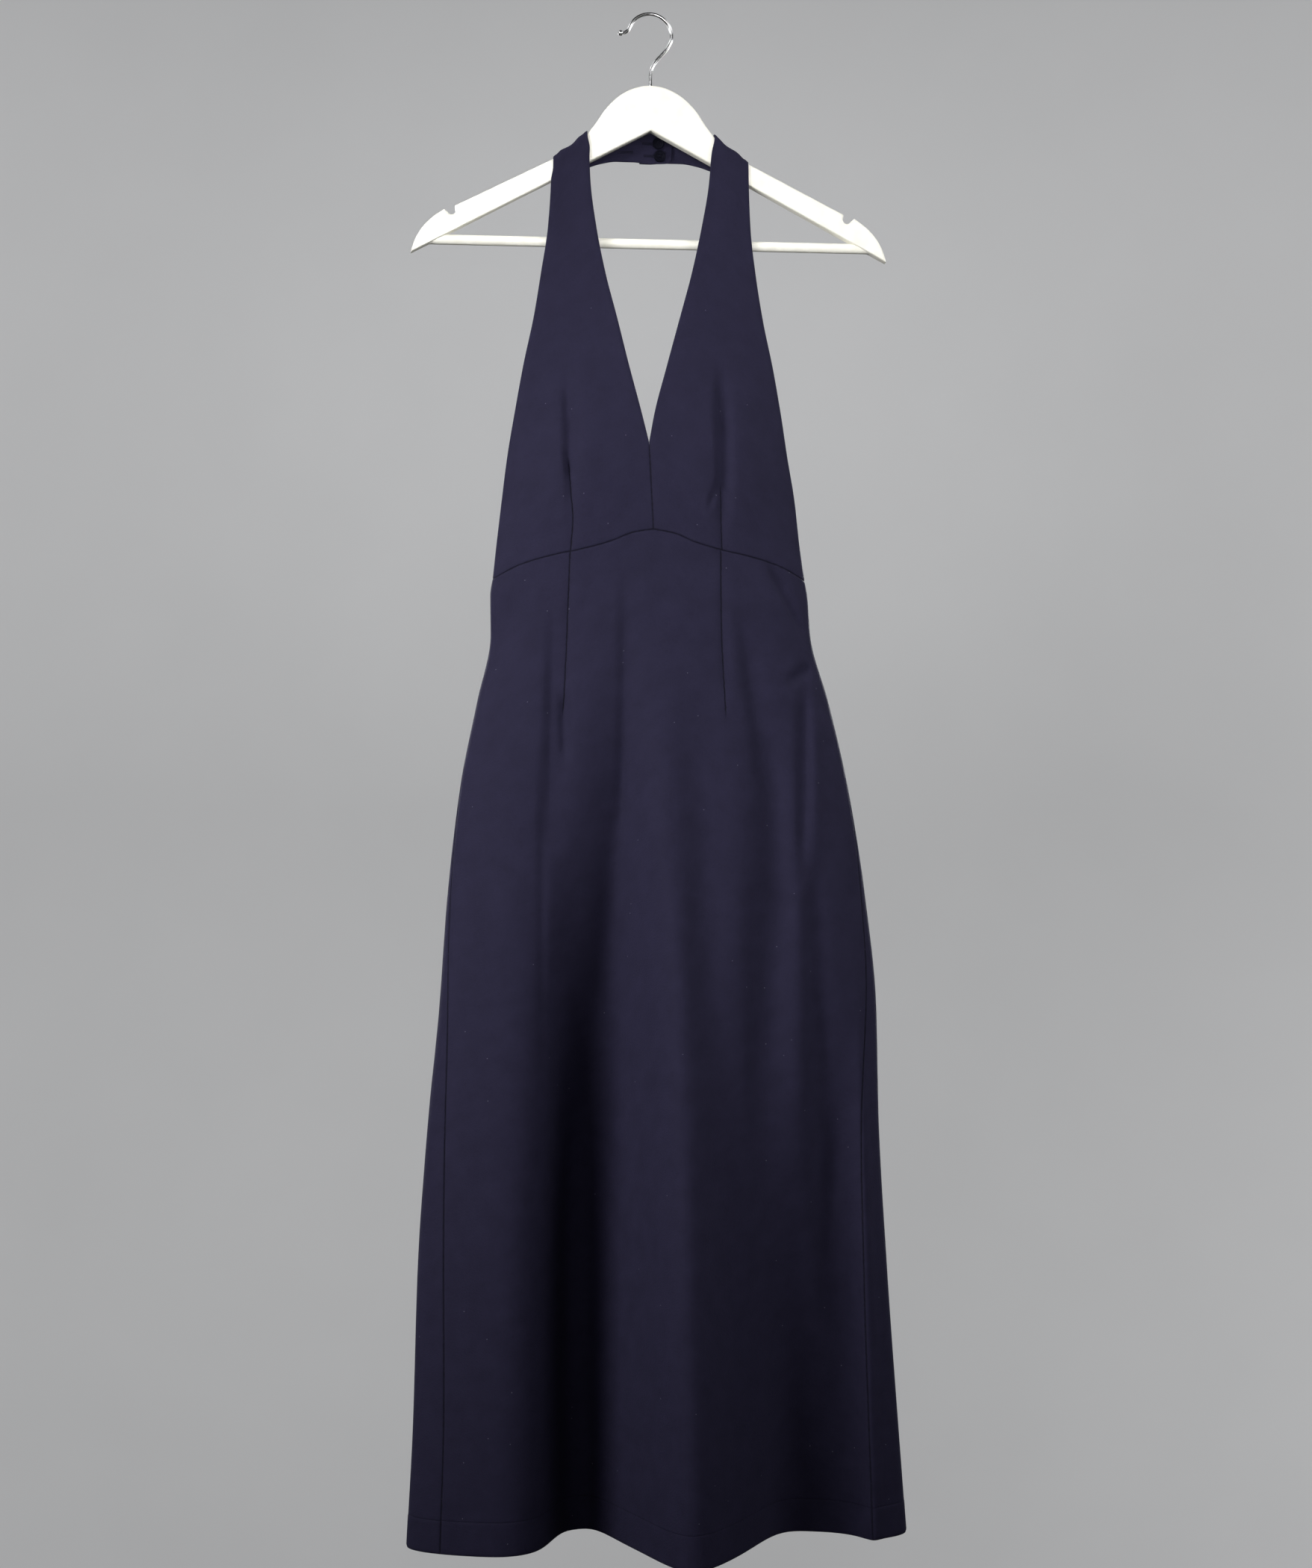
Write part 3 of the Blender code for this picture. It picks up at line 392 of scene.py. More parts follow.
def sew_cloth(name, points, outward, darts=(), hem=None, sewn_top=None):
    """One closed piece of cloth from a grid of outer points: two skins that turn towards each other at the edges.

    hem is how far above the hem's edge each row is, where the piece has a hem. A halter panel is sewn along its first
    row and its first column below the V; a skirt panel along both its sides, and its first row with sewn_top."""
    normals = cloth_normals(points, outward)
    across = run_lengths(np.swapaxes(points, 0, 1)).T
    up = run_lengths(points)
    edge = np.minimum(np.minimum(across, across[:, -1:] - across), np.minimum(up, up[-1:] - up))
    turn = EDGE_TURN * np.exp(-(edge / EDGE_TURN_REACH) ** 2)
    doubled = np.zeros(edge.shape)
    if hem is not None:
        doubled = doubled + ease((HEM_DEPTH - hem) / 1.2)[:, None] * ease(edge / 3.0)
    outer = points + normals * (HEM_SWELL_OUT * doubled - turn)[..., None]
    inner = points - normals * (CLOTH_THICK + HEM_SWELL_IN * doubled - turn)[..., None]
    rows, columns = edge.shape
    index = np.arange(rows * columns).reshape(rows, columns)
    quads = np.stack([index[:-1, :-1], index[:-1, 1:], index[1:, 1:], index[1:, :-1]], axis=-1).reshape(-1, 4)
    border = np.concatenate([index[0], index[1:, -1], index[-1, -2::-1], index[-2:0:-1, 0]])
    after = np.roll(border, -1)
    count = rows * columns
    rim = np.stack([after, border, border + count, after + count], axis=-1)
    faces = np.concatenate([quads, quads[:, ::-1] + count, rim])
    middle = outer[0, columns // 2]
    turned = np.cross(outer[0, columns // 2 + 1] - middle, outer[1, columns // 2] - middle)
    if turned.dot(normals[0, columns // 2]) < 0.0:
        faces = faces[:, ::-1]
    mesh = bpy.data.meshes.new(name)
    corners = np.concatenate([outer.reshape(-1, 3), inner.reshape(-1, 3)]) * MM
    mesh.from_pydata(corners.tolist(), [], faces.tolist())
    flat = np.stack([across, up], axis=-1).reshape(-1, 2) * MM
    laid_out = mesh.uv_layers.new(name="Cloth")
    loops = np.empty(len(mesh.loops), int)
    mesh.loops.foreach_get("vertex_index", loops)
    laid_out.uv.foreach_set("vector", np.tile(flat, (2, 1))[loops].astype(np.float32).ravel())
    nearest, shown = dart_distance(darts, points)
    height_above = np.full(edge.shape, NO_HEM) if hem is None else np.repeat(hem[:, None], columns, axis=1)
    if sewn_top is None:
        seam = np.minimum(up, np.where(points[..., 2] < V_POINT_Z, across, FAR_AWAY))
    else:
        seam = np.minimum(np.minimum(across, across[:, -1:] - across), up if sewn_top else FAR_AWAY)
    for label, values in (("dart", nearest), ("dart_shown", shown), ("above_hem", height_above), ("seam", seam)):
        attribute = mesh.attributes.new(label, "FLOAT", "POINT")
        attribute.data.foreach_set("value", np.tile(values.ravel(), 2).astype(np.float32))
    mesh.shade_smooth()
    piece = bpy.data.objects.new(name, mesh)
    bpy.context.scene.collection.objects.link(piece)
    return piece


def bezier(p0, p1, p2, p3, count):
    """Points along one cubic curve, its first point left out."""
    points = []
    for i in range(1, count + 1):
        t = i / count
        s = 1.0 - t
        weights = (s ** 3, 3.0 * s * s * t, 3.0 * s * t * t, t ** 3)
        points.append(tuple(sum(w * p[k] for w, p in zip(weights, (p0, p1, p2, p3))) for k in (0, 1)))
    return points


def hanger_top(fineness):
    """The upper edge of the hanger's right half, from the top of the bell to the straight of the arm."""
    points = [(0.0, HANGER_TOP_Z)]
    points += bezier((0.0, HANGER_TOP_Z), (22.0, HANGER_TOP_Z), (38.5, -82.5), (47.5, -97.0), 8 * fineness)
    points += bezier((47.5, -97.0), (57.0, -112.0), (70.0, -127.2), (91.8, -138.1), 7 * fineness)
    return points


ARM_TOP = smooth_curve(*zip(*hanger_top(3)))


def strap_points(side, end_rows, under, foot):
    """The strap's rows, from just above the halter panel's last row, foot, to the end behind the neck."""
    table = STRAP_ROWS + end_rows
    middles = [
        ((row.outer_x + row.inner_x) / 2.0, row.under_y if under else row.y, (row.outer_z + row.inner_z) / 2.0)
        for row in table
    ]
    travel = run_lengths(np.array(middles))
    curves = {
        column: smooth_curve(travel, [getattr(row, column) for row in table])
        for column in ("outer_x", "outer_z", "inner_x", "inner_z", "follow")
    }
    depth = smooth_curve(travel, [row.under_y if under else row.y for row in table])
    count = int(travel[-1] / STRAP_ROW_STEP)
    along = np.linspace(0.0, travel[-1] - EDGE_ROWS[-1], count)[1:]
    along = np.concatenate([along, travel[-1] - EDGE_ROWS[-2::-1]])
    rows = []
    for t in along:
        ends = [curves[column](t) for column in ("inner_x", "inner_z", "outer_x", "outer_z")]
        width = math.hypot(ends[2] - ends[0], ends[3] - ends[1])
        share = edge_steps(width, HALTER_COLUMNS) / width
        x = blend(ends[0], ends[2], share)
        z = blend(ends[1], ends[3], share)
        straight = blend(ARM_TOP(ends[0]), ARM_TOP(ends[2]), share)
        z = z + curves["follow"](t) * (ARM_TOP(x) - straight)
        rows.append(np.stack([side * x, np.full(len(x), float(depth(t))), z], axis=-1))
    rows = np.array(rows)
    width = math.hypot(*(foot[-1] - foot[0])[[0, 2]])
    share = edge_steps(width, HALTER_COLUMNS) / width
    drawn = np.stack([
        side * blend(STRAP_ROWS[0].inner_x, STRAP_ROWS[0].outer_x, share),
        np.full(len(share), STRAP_ROWS[0].y),
        blend(STRAP_ROWS[0].inner_z, STRAP_ROWS[0].outer_z, share),
    ], axis=-1)
    rows += (foot - drawn)[None] * (1.0 - ease(along / STRAP_SETTLES))[:, None, None]
    window = ease((along - STRAP_LUMP_FROM) / STRAP_LUMP_FADE) * ease((STRAP_LUMP_TO - along) / STRAP_LUMP_FADE)
    normals = cloth_normals(np.concatenate([foot[None], rows]), np.array([0.0, -1.0, 0.0]))[1:]
    shares = np.linspace(0.0, 1.0, rows.shape[1])
    lumps = 0.5 + 0.5 * np.sin(2.0 * math.pi * (1.35 * shares[None] + 0.12 * side) + along[:, None] / 17.0)
    inside = ease(4.0 * np.minimum(shares, 1.0 - shares))
    return rows + normals * (STRAP_LUMP * window[:, None] * lumps * inside[None])[..., None]


V_SHARE = (V_POINT_Z - EMPIRE_SEAM[0].z) / (STRAP_INNER_Z - EMPIRE_SEAM[0].z)


def halter_row(side, share):
    """One row of a halter panel's points, from its inner edge to the armhole edge."""
    inner_z = blend(EMPIRE_SEAM[0].z, STRAP_INNER_Z, share)
    outer_z = blend(SIDE_TOP_Z, STRAP_OUTER_Z, share)
    arch = max(0.0, 1.0 - share / V_SHARE)
    start = float(angle_at_x(inner_x(side, inner_z), inner_z))
    end = side * math.pi / 2.0

    def height(angle):
        spread = (np.sin(angle) - math.sin(start)) / (math.sin(end) - math.sin(start))
        row_z = blend(inner_z, outer_z, spread)
        seam_z = SEAM_HEIGHT(np.abs(np.sin(angle)))
        return row_z + arch * (seam_z - blend(EMPIRE_SEAM[0].z, SIDE_TOP_Z, spread))

    angles = row_angles(start, end, height, HALTER_COLUMNS)
    return body_points(angles, height(angles))


def halter_panel(name, side, end_rows, under):
    rise = STRAP_INNER_Z - EMPIRE_SEAM[0].z
    up_the_front = np.concatenate([EDGE_ROWS, np.arange(4.5, rise, HALTER_ROW_STEP), [rise]])
    body = np.array([halter_row(side, share) for share in up_the_front / rise])
    strap = strap_points(side, end_rows, under, body[-1])
    points = np.concatenate([body, strap])
    return sew_cloth(name, points, np.array([0.0, -1.0, 0.0]), darts=[BUST_DARTS[side]])


def set_inputs(tree, node, inputs):
    """Gives each named input a value, or another node's output."""
    for name, value in inputs.items():
        if isinstance(value, bpy.types.NodeSocket):
            tree.links.new(value, node.inputs[name])
        else:
            node.inputs[name].default_value = value


def add_node(tree, kind, inputs, **settings):
    """A shader node with its settings and inputs."""
    made = tree.nodes.new(kind)
    for name, value in settings.items():
        setattr(made, name, value)
    set_inputs(tree, made, inputs)
    return made


def math_node(tree, operation, *values):
    return add_node(tree, "ShaderNodeMath", dict(enumerate(values)), operation=operation).outputs[0]


def plus(tree, first, second):
    return math_node(tree, "ADD", first, second)


def times(tree, first, second):
    return math_node(tree, "MULTIPLY", first, second)


def noise(tree, place, scale, detail, roughness=0.5, distortion=0.0):
    inputs = {"Vector": place, "Scale": scale, "Detail": detail, "Roughness": roughness, "Distortion": distortion}
    return add_node(tree, "ShaderNodeTexNoise", inputs).outputs[0]


def bump(tree, height, distance, strength=1.0, under=None):
    """Normals bent by a height. under holds the normals of a coarser or finer bump that this one is added to."""
    inputs = {"Height": height, "Distance": distance, "Strength": strength}
    if under is not None:
        inputs["Normal"] = under
    return add_node(tree, "ShaderNodeBump", inputs).outputs[0]


def attribute(tree, name):
    return add_node(tree, "ShaderNodeAttribute", {}, attribute_name=name).outputs["Fac"]


def object_place(tree):
    return add_node(tree, "ShaderNodeTexCoord", {}).outputs["Object"]


def mix_colours(tree, share, first, second):
    """Colours mixed by a share; the sockets of Mix are named alike, so they are picked by place."""
    made = add_node(tree, "ShaderNodeMix", {0: share, 6: first, 7: second}, data_type="RGBA")
    return made.outputs[2]


def shader_group(name, inputs, outputs):
    """A node group with number inputs given as name and value, one vector input named Place, and number outputs."""
    tree = bpy.data.node_groups.new(name, "ShaderNodeTree")
    tree.interface.new_socket("Place", in_out="INPUT", socket_type="NodeSocketVector")
    for label, value in inputs.items():
        made = tree.interface.new_socket(label, in_out="INPUT", socket_type="NodeSocketFloat")
        made.default_value = value
    for label in outputs:
        tree.interface.new_socket(label, in_out="OUTPUT", socket_type="NodeSocketFloat")
    return tree, tree.nodes.new("NodeGroupInput").outputs, tree.nodes.new("NodeGroupOutput").inputs


def new_material(name):
    """A material with its own Principled shader, and the tree it stands in."""
    made = bpy.data.materials.new(name)
    made.use_nodes = True
    return made, made.node_tree, made.node_tree.nodes["Principled BSDF"]


# The knit's stitches: little Vs in columns
knit, put, out = shader_group("Double knit stitches", {"Stitch Width": 0.0009}, ["Height"])
per_stitch = math_node(knit, "DIVIDE", 1.0, put["Stitch Width"])
scaled = add_node(knit, "ShaderNodeVectorMath", {0: put["Place"], "Scale": per_stitch}, operation="SCALE")
parts = add_node(knit, "ShaderNodeSeparateXYZ", {0: scaled.outputs[0]}).outputs
leg = math_node(knit, "ABSOLUTE", math_node(knit, "SUBTRACT", math_node(knit, "FRACT", parts["X"]), 0.5))
course = math_node(knit, "FRACT", plus(knit, parts["Y"], times(knit, leg, 0.9)))
loop = math_node(knit, "SINE", times(knit, course, math.pi))
gap = math_node(knit, "SUBTRACT", 1.0, math_node(knit, "POWER", times(knit, leg, 2.0), 4.0))
knit.links.new(times(knit, loop, gap), out["Height"])

# Fibre: a mottled bloom over the cloth, small darker spots where it has rubbed, and the odd fleck of lint
fibre, put, out = shader_group(
    "Fibre bloom",
    {"Grain": 520.0, "Patch": 46.0, "Spots": 150.0, "Lint": 46.0},
    ["Bloom", "Patches", "Spots", "Lint"],
)
grain = noise(fibre, put["Place"], put["Grain"], 3.0, roughness=0.7)
patch = noise(fibre, put["Place"], put["Patch"], 4.0, roughness=0.62)
for value, label in ((grain, "Bloom"), (patch, "Patches")):
    spread = add_node(fibre, "ShaderNodeMapRange", {"Value": value, "From Min": 0.30, "From Max": 0.70})
    fibre.links.new(spread.outputs[0], out[label])
for label, chance, size in (("Spots", 0.70, 0.34), ("Lint", 0.90, 0.026)):
    place = {"Vector": put["Place"], "Scale": put[label]}
    cells = add_node(fibre, "ShaderNodeTexVoronoi", place, voronoi_dimensions="2D")
    draw = add_node(fibre, "ShaderNodeSeparateColor", {0: cells.outputs["Color"]}).outputs[0]
    chosen = math_node(fibre, "GREATER_THAN", draw, chance)
    reach = {"Value": cells.outputs["Distance"], "From Min": size, "From Max": 0.5 * size}
    near = add_node(fibre, "ShaderNodeMapRange", reach)
    fibre.links.new(times(fibre, chosen, near.outputs[0]), out[label])

# A stitched line: how deep it pulls the cloth in, and the narrow groove along it, which gives a bump and sets where
# shade is painted into the colour. It wanders a little between stitches.
stitched, put, out = shader_group(
    "Stitched line",
    {"Distance": FAR_AWAY, "Half Width": 0.58, "Pull Width": 2.0},
    ["Groove", "Pull"],
)
wander = math_node(stitched, "SUBTRACT", noise(stitched, put["Place"], 240.0, 2.0), 0.5)
away = math_node(stitched, "ABSOLUTE", plus(stitched, put["Distance"], times(stitched, wander, 1.3)))
for label, width in (("Groove", "Half Width"), ("Pull", "Pull Width")):
    ratio = math_node(stitched, "DIVIDE", away, put[width])
    squared = times(stitched, times(stitched, ratio, ratio), -1.0)
    stitched.links.new(math_node(stitched, "EXPONENT", squared), out[label])

NAVY = (0.0122, 0.0110, 0.0254, 1.0)
NAVY_BLOOM = (0.0196, 0.0178, 0.0402, 1.0)
# Painted shade: the near-black navy that the stitched grooves of the darts, the hem and the seams are darkened
# towards
PAINTED_GROOVE_SHADE = (0.0016, 0.0016, 0.0034, 1.0)
LINT = (0.11, 0.11, 0.15, 1.0)

navy_knit, tree, shader = new_material("Navy double knit")
laid_out = add_node(tree, "ShaderNodeUVMap", {}, uv_map="Cloth").outputs[0]
stitches = add_node(tree, "ShaderNodeGroup", {"Place": laid_out}, node_tree=knit).outputs
bloom = add_node(tree, "ShaderNodeGroup", {"Place": laid_out}, node_tree=fibre).outputs
to_dart = {"Place": laid_out, "Distance": attribute(tree, "dart")}
dart_line = add_node(tree, "ShaderNodeGroup", to_dart, node_tree=stitched).outputs
dart_shown = attribute(tree, "dart_shown")
dart_groove = times(tree, dart_line["Groove"], dart_shown)
dart_pull = times(tree, dart_line["Pull"], dart_shown)
above_stitches = math_node(tree, "SUBTRACT", attribute(tree, "above_hem"), HEM_DEPTH + 0.6)
to_hem = {"Place": laid_out, "Distance": above_stitches}
hem_groove = add_node(tree, "ShaderNodeGroup", to_hem, node_tree=stitched).outputs["Groove"]
to_seam = {"Place": laid_out, "Distance": attribute(tree, "seam"), "Half Width": 0.7}
seam_groove_shade = add_node(tree, "ShaderNodeGroup", to_seam, node_tree=stitched).outputs["Groove"]

shade = plus(tree, times(tree, bloom["Bloom"], 0.5), times(tree, bloom["Patches"], 0.5))
shade = math_node(tree, "SUBTRACT", shade, times(tree, bloom["Spots"], 0.10))
colour = mix_colours(tree, shade, NAVY, NAVY_BLOOM)
# Painted shade: the colour is darkened along the grooves of the darts, the hem's stitching and the seams, as the
# shade that falls in them
painted_shade = math_node(tree, "MAXIMUM", times(tree, dart_groove, 0.9), times(tree, hem_groove, 0.25))
painted_shade = math_node(tree, "MAXIMUM", painted_shade, times(tree, seam_groove_shade, 0.75))
colour = mix_colours(tree, painted_shade, colour, PAINTED_GROOVE_SHADE)
colour = mix_colours(tree, bloom["Lint"], colour, LINT)
lines = plus(tree, times(tree, dart_groove, -0.3), times(tree, dart_pull, -0.25))
lines = plus(tree, lines, times(tree, hem_groove, -0.22))
fine = bump(tree, stitches["Height"], 0.00012, 0.5)
fuzzy = bump(tree, bloom["Bloom"], 0.0003, 0.5, under=fine)
set_inputs(tree, shader, {
    "Base Color": colour,
    "Roughness": plus(tree, 0.70, times(tree, bloom["Bloom"], 0.2)),
    "Specular IOR Level": 0.08,
    "Sheen Weight": 0.03,
    "Sheen Roughness": 0.42,
    "Sheen Tint": (0.55, 0.55, 0.85, 1.0),
    "Normal": bump(tree, lines, 0.0012, under=fuzzy),
})

left_halter = halter_panel("left_halter_panel", -1, LAP_END, False)
right_halter = halter_panel("right_halter_panel", 1, UNDER_END, True)
halters = ((left_halter, "bodice_left", 0.538, 0.040), (right_halter, "bodice_right", 0.521, 0.041))
for piece, node, length, area in halters:
    piece.data.materials.append(navy_knit)
    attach(piece, "root")
    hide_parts(node)

# Front of the skirt
# One flared panel of the same knit, sewn to the arched empire seam, with two long darts from it and a turned-up hem.
# It hangs in deep folds that run out through the hem.

SKIRT_FRONT_COLUMNS = 212
SKIRT_BACK_COLUMNS = 150
SKIRT_ROWS = 196

# Side seams: how far they lie inside the outline, seen from the front
SideSeam = namedtuple("SideSeam", "z left right")
SIDE_SEAMS = [
    SideSeam(-531.0, 0.0, 0.0),
    SideSeam(-700.0, 0.0, 0.2),
    SideSeam(-863.0, 3.5, 8.0),
    SideSeam(-1038.0, 15.0, 22.0),
    SideSeam(-1200.0, 24.0, 29.0),
    SideSeam(-1431.0, 30.0, 38.0),
]
SEAM_INSET = {-1: table_curve(SIDE_SEAMS, "z", "left"), 1: table_curve(SIDE_SEAMS, "z", "right")}
FRONT_SKIRT_DARTS = [
    [DartPoint(-78.2, -505.0), DartPoint(-81.4, -589.0), DartPoint(-84.7, -656.0)],
    [DartPoint(62.3, -503.0), DartPoint(62.3, -567.0), DartPoint(65.3, -658.0)],
]


def seam_angle(side, z):
    """A side seam's angle, where the front and the back panel meet."""
    half = (RIGHT(z) - LEFT(z)) / 2.0
    return side * math.asin(1.0 - SEAM_INSET[side](z) / half)


def skirt_shares():
    """Shares of the way from the skirt's top to its hem, closer together at both edges and at the turned hem."""
    length = SIDE_TOP_Z - HEM_Z
    steps = edge_steps(length, SKIRT_ROWS)
    turned = length - HEM_DEPTH + np.array([-0.7, 0.5, 1.3])
    steps = steps[np.min(np.abs(steps[:, None] - turned[None]), axis=1) > 0.8]
    return np.sort(np.concatenate([steps, turned])) / length


def skirt_panel(name, panel_side, top_height, columns, darts):
    """One panel of the skirt from side seam to side seam."""
    rows = []
    for share in skirt_shares():
        level = blend(SIDE_TOP_Z, HEM_Z, share)

        def height(angle):
            return blend(top_height(angle), HEM_Z, share)

        if panel_side == 1:
            first = seam_angle(-1, level)
            last = seam_angle(1, level)
        else:
            first = seam_angle(1, level)
            last = seam_angle(-1, level) + 2.0 * math.pi
        angles = row_angles(first, last, height, columns)
        rows.append(body_points(angles, height(angles)))
    hem = (1.0 - skirt_shares()) * (SIDE_TOP_Z - HEM_Z)
    outward = np.array([0.0, -panel_side, 0.0])
    return sew_cloth(name, np.array(rows), outward, darts=darts, hem=hem, sewn_top=panel_side == 1)


def front_top(angle):
    return SEAM_HEIGHT(np.abs(np.sin(angle)))


skirt_front = skirt_panel("skirt_front_panel", 1, front_top, SKIRT_FRONT_COLUMNS, FRONT_SKIRT_DARTS)
skirt_front.data.materials.append(navy_knit)
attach(skirt_front, "root")
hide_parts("skirt_front")

# Back of the skirt
# The panel that closes the skirt behind, cut straight across its top a little lower at centre back. Two short darts
# take in the waist.

BACK_TOP_DIP = 12.0
BACK_SKIRT_DARTS = [
    [DartPoint(-62.0, -546.0), DartPoint(-66.0, -655.0)],
    [DartPoint(60.0, -546.0), DartPoint(64.0, -655.0)],
]


def back_top(angle):
    return SIDE_TOP_Z - BACK_TOP_DIP * np.clip(-np.cos(angle), 0.0, 1.0) ** 2


skirt_back = skirt_panel("skirt_back_panel", -1, back_top, SKIRT_BACK_COLUMNS, BACK_SKIRT_DARTS)
skirt_back.data.materials.append(navy_knit)
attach(skirt_back, "root")
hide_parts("skirt_back")

# Neck buttons
# Two small four-hole buttons of navy resin with a raised rim, sewn to the band with crossed thread. The upper one
# has tipped in its buttonhole.

BUTTON_R = 5.6
BUTTON_THICK = 2.4
# From the middle of the button's back, round its rim and into the dish of its front
ButtonPoint = namedtuple("ButtonPoint", "radius depth")
BUTTON_PROFILE = [
    ButtonPoint(0.0, BUTTON_THICK),
    ButtonPoint(5.0, BUTTON_THICK),
    ButtonPoint(5.42, 2.2),
    ButtonPoint(BUTTON_R, 1.8),
    ButtonPoint(BUTTON_R, 0.75),
    ButtonPoint(5.48, 0.35),
    ButtonPoint(5.2, 0.08),
    ButtonPoint(4.85, 0.0),
    ButtonPoint(4.5, 0.1),
    ButtonPoint(4.2, 0.45),
    ButtonPoint(3.9, 0.66),
    ButtonPoint(3.4, 0.74),
    ButtonPoint(0.0, 0.8),
]
BUTTON_HOLE_R = 0.62
BUTTON_HOLE_AT = 1.15
NeckButton = namedtuple("NeckButton", "name node x z tip turn")
NECK_BUTTONS = [
    NeckButton("lower_neck_button", "button_lower", 10.0, -129.6, 4.0, 12.0),
    NeckButton("upper_neck_button", "button_upper", 8.4, -117.9, 16.0, 35.0),
]
THREAD_R = 0.28
THREAD_ROOT = 2.2
THREAD_BEND = 0.9
MERGE = 0.000002


def spin_profile(profile, steps):
    """A round solid from (radius, depth) points, its front towards -Y."""
    shape = bmesh.new()
    line = [shape.verts.new(Vector((radius, depth, 0.0)) * MM) for radius, depth in profile]
    edges = [shape.edges.new(pair) for pair in zip(line, line[1:])]
    bmesh.ops.spin(shape, geom=line + edges, cent=(0, 0, 0), axis=(0, 1, 0), angle=2.0 * math.pi, steps=steps)
    bmesh.ops.remove_doubles(shape, verts=shape.verts, dist=MERGE)
    bmesh.ops.recalc_face_normals(shape, faces=shape.faces)
    return shape


def finished_mesh(name, shape, sharp=40.0):
    mesh = bpy.data.meshes.new(name)
    shape.to_mesh(mesh)
    shape.free()
    mesh.shade_smooth()
    mesh.set_sharp_from_angle(angle=math.radians(sharp))
    made = bpy.data.objects.new(name, mesh)
    bpy.context.scene.collection.objects.link(made)
    return made


def tube(name, route, radius, sides=10, loop=False):
    """A tube along a line of points in millimetres, closed by caps, or joined to itself as a loop."""
    line = bpy.data.curves.new(name, "CURVE")
    line.dimensions = "3D"
    line.bevel_depth = radius * MM
    line.bevel_resolution = sides // 2 - 1
    line.use_fill_caps = not loop
    spline = line.splines.new("POLY")
    spline.use_cyclic_u = loop
    spline.points.add(len(route) - 1)
    for point, (x, y, z) in zip(spline.points, route):
        point.co = (x * MM, y * MM, z * MM, 1.0)
    drawn = bpy.data.objects.new(name, line)
    bpy.context.scene.collection.objects.link(drawn)
    mesh = bpy.data.meshes.new_from_object(drawn.evaluated_get(bpy.context.evaluated_depsgraph_get()))
    bpy.data.objects.remove(drawn, do_unlink=True)
    shape = bmesh.new()
    shape.from_mesh(mesh)
    bpy.data.meshes.remove(mesh)
    bmesh.ops.remove_doubles(shape, verts=shape.verts, dist=MERGE)
    bmesh.ops.recalc_face_normals(shape, faces=shape.faces)
    return finished_mesh(name, shape)


resin, tree, shader = new_material("Navy resin")
swirl = noise(tree, object_place(tree), 420.0, 3.0, distortion=1.2)
resin_colour = mix_colours(tree, swirl, (0.0022, 0.0022, 0.0050, 1.0), (0.0062, 0.0062, 0.0120, 1.0))
set_inputs(tree, shader, {
    "Base Color": resin_colour,
    "Roughness": plus(tree, 0.46, times(tree, swirl, 0.16)),
    "Specular IOR Level": 0.03,
    "Normal": bump(tree, swirl, 0.00004, 0.6),
})

navy_thread, tree, shader = new_material("Navy thread")
twist = {"Vector": object_place(tree), "Scale": 900.0, "Distortion": 1.0}
ply = add_node(tree, "ShaderNodeTexWave", twist, bands_direction="DIAGONAL").outputs[1]
set_inputs(tree, shader, {
    "Base Color": mix_colours(tree, ply, (0.005, 0.005, 0.010, 1.0), (0.014, 0.0135, 0.026, 1.0)),
    "Roughness": 0.7,
    "Specular IOR Level": 0.05,
    "Normal": bump(tree, ply, 0.0001),
})

band_front_y = LAP_FACE_Y - CLOTH_THICK
for button in NECK_BUTTONS:
    disc = finished_mesh(button.name, spin_profile(BUTTON_PROFILE, 64))
    cutters = bmesh.new()
    for x, z in ((1, 1), (1, -1), (-1, 1), (-1, -1)):
        sizes = {"radius1": BUTTON_HOLE_R * MM, "radius2": BUTTON_HOLE_R * MM, "depth": 6.0 * MM}
        made = bmesh.ops.create_cone(cutters, segments=20, cap_ends=True, **sizes)
        for corner in made["verts"]:
            moved_x = corner.co.x + x * BUTTON_HOLE_AT * MM
            corner.co = Vector((moved_x, corner.co.z, corner.co.y + z * BUTTON_HOLE_AT * MM))
    bmesh.ops.recalc_face_normals(cutters, faces=cutters.faces)
    holes = finished_mesh(button.name + "_holes", cutters)
    cut = disc.modifiers.new("Holes", "BOOLEAN")
    cut.object = holes
    cut.solver = "EXACT"
    bpy.context.view_layer.update()
    drilled = bpy.data.meshes.new_from_object(disc.evaluated_get(bpy.context.evaluated_depsgraph_get()))
    disc.modifiers.clear()
    disc.data = drilled
    bpy.data.objects.remove(holes, do_unlink=True)
    disc.data.materials.clear()
    disc.data.materials.append(resin)
    lift = BUTTON_R * math.sin(math.radians(button.tip))
    disc.location = Vector((button.x, band_front_y - BUTTON_THICK - 0.5 * lift, button.z)) * MM
    disc.rotation_euler = (math.radians(button.tip), math.radians(button.turn), 0.0)
    bpy.context.view_layer.update()
    for number, slope in enumerate((1, -1)):
        start, end = (-BUTTON_HOLE_AT * slope, BUTTON_HOLE_AT), (BUTTON_HOLE_AT * slope, -BUTTON_HOLE_AT)
        route = [(start[0], THREAD_ROOT, start[1]), (start[0], THREAD_BEND, start[1])]
        for i in range(9):
            share = i / 8.0
            bow = 0.52 - 0.34 * math.sin(math.pi * share) - 0.16 * number * math.sin(math.pi * share)
            route.append((blend(start[0], end[0], share), bow, blend(start[1], end[1], share)))
        route += [(end[0], THREAD_BEND, end[1]), (end[0], THREAD_ROOT, end[1])]
        stitch = tube(f"{button.name}_thread_{number + 1}", route, THREAD_R)
        stitch.data.materials.append(navy_thread)
        stitch.parent = disc
    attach(disc, "root")
    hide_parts(button.node)

# Buttonholes
# Three slits in the lapped band, each bound with close stitches: one behind each button, and one to spare so that
# the neck can be let out.

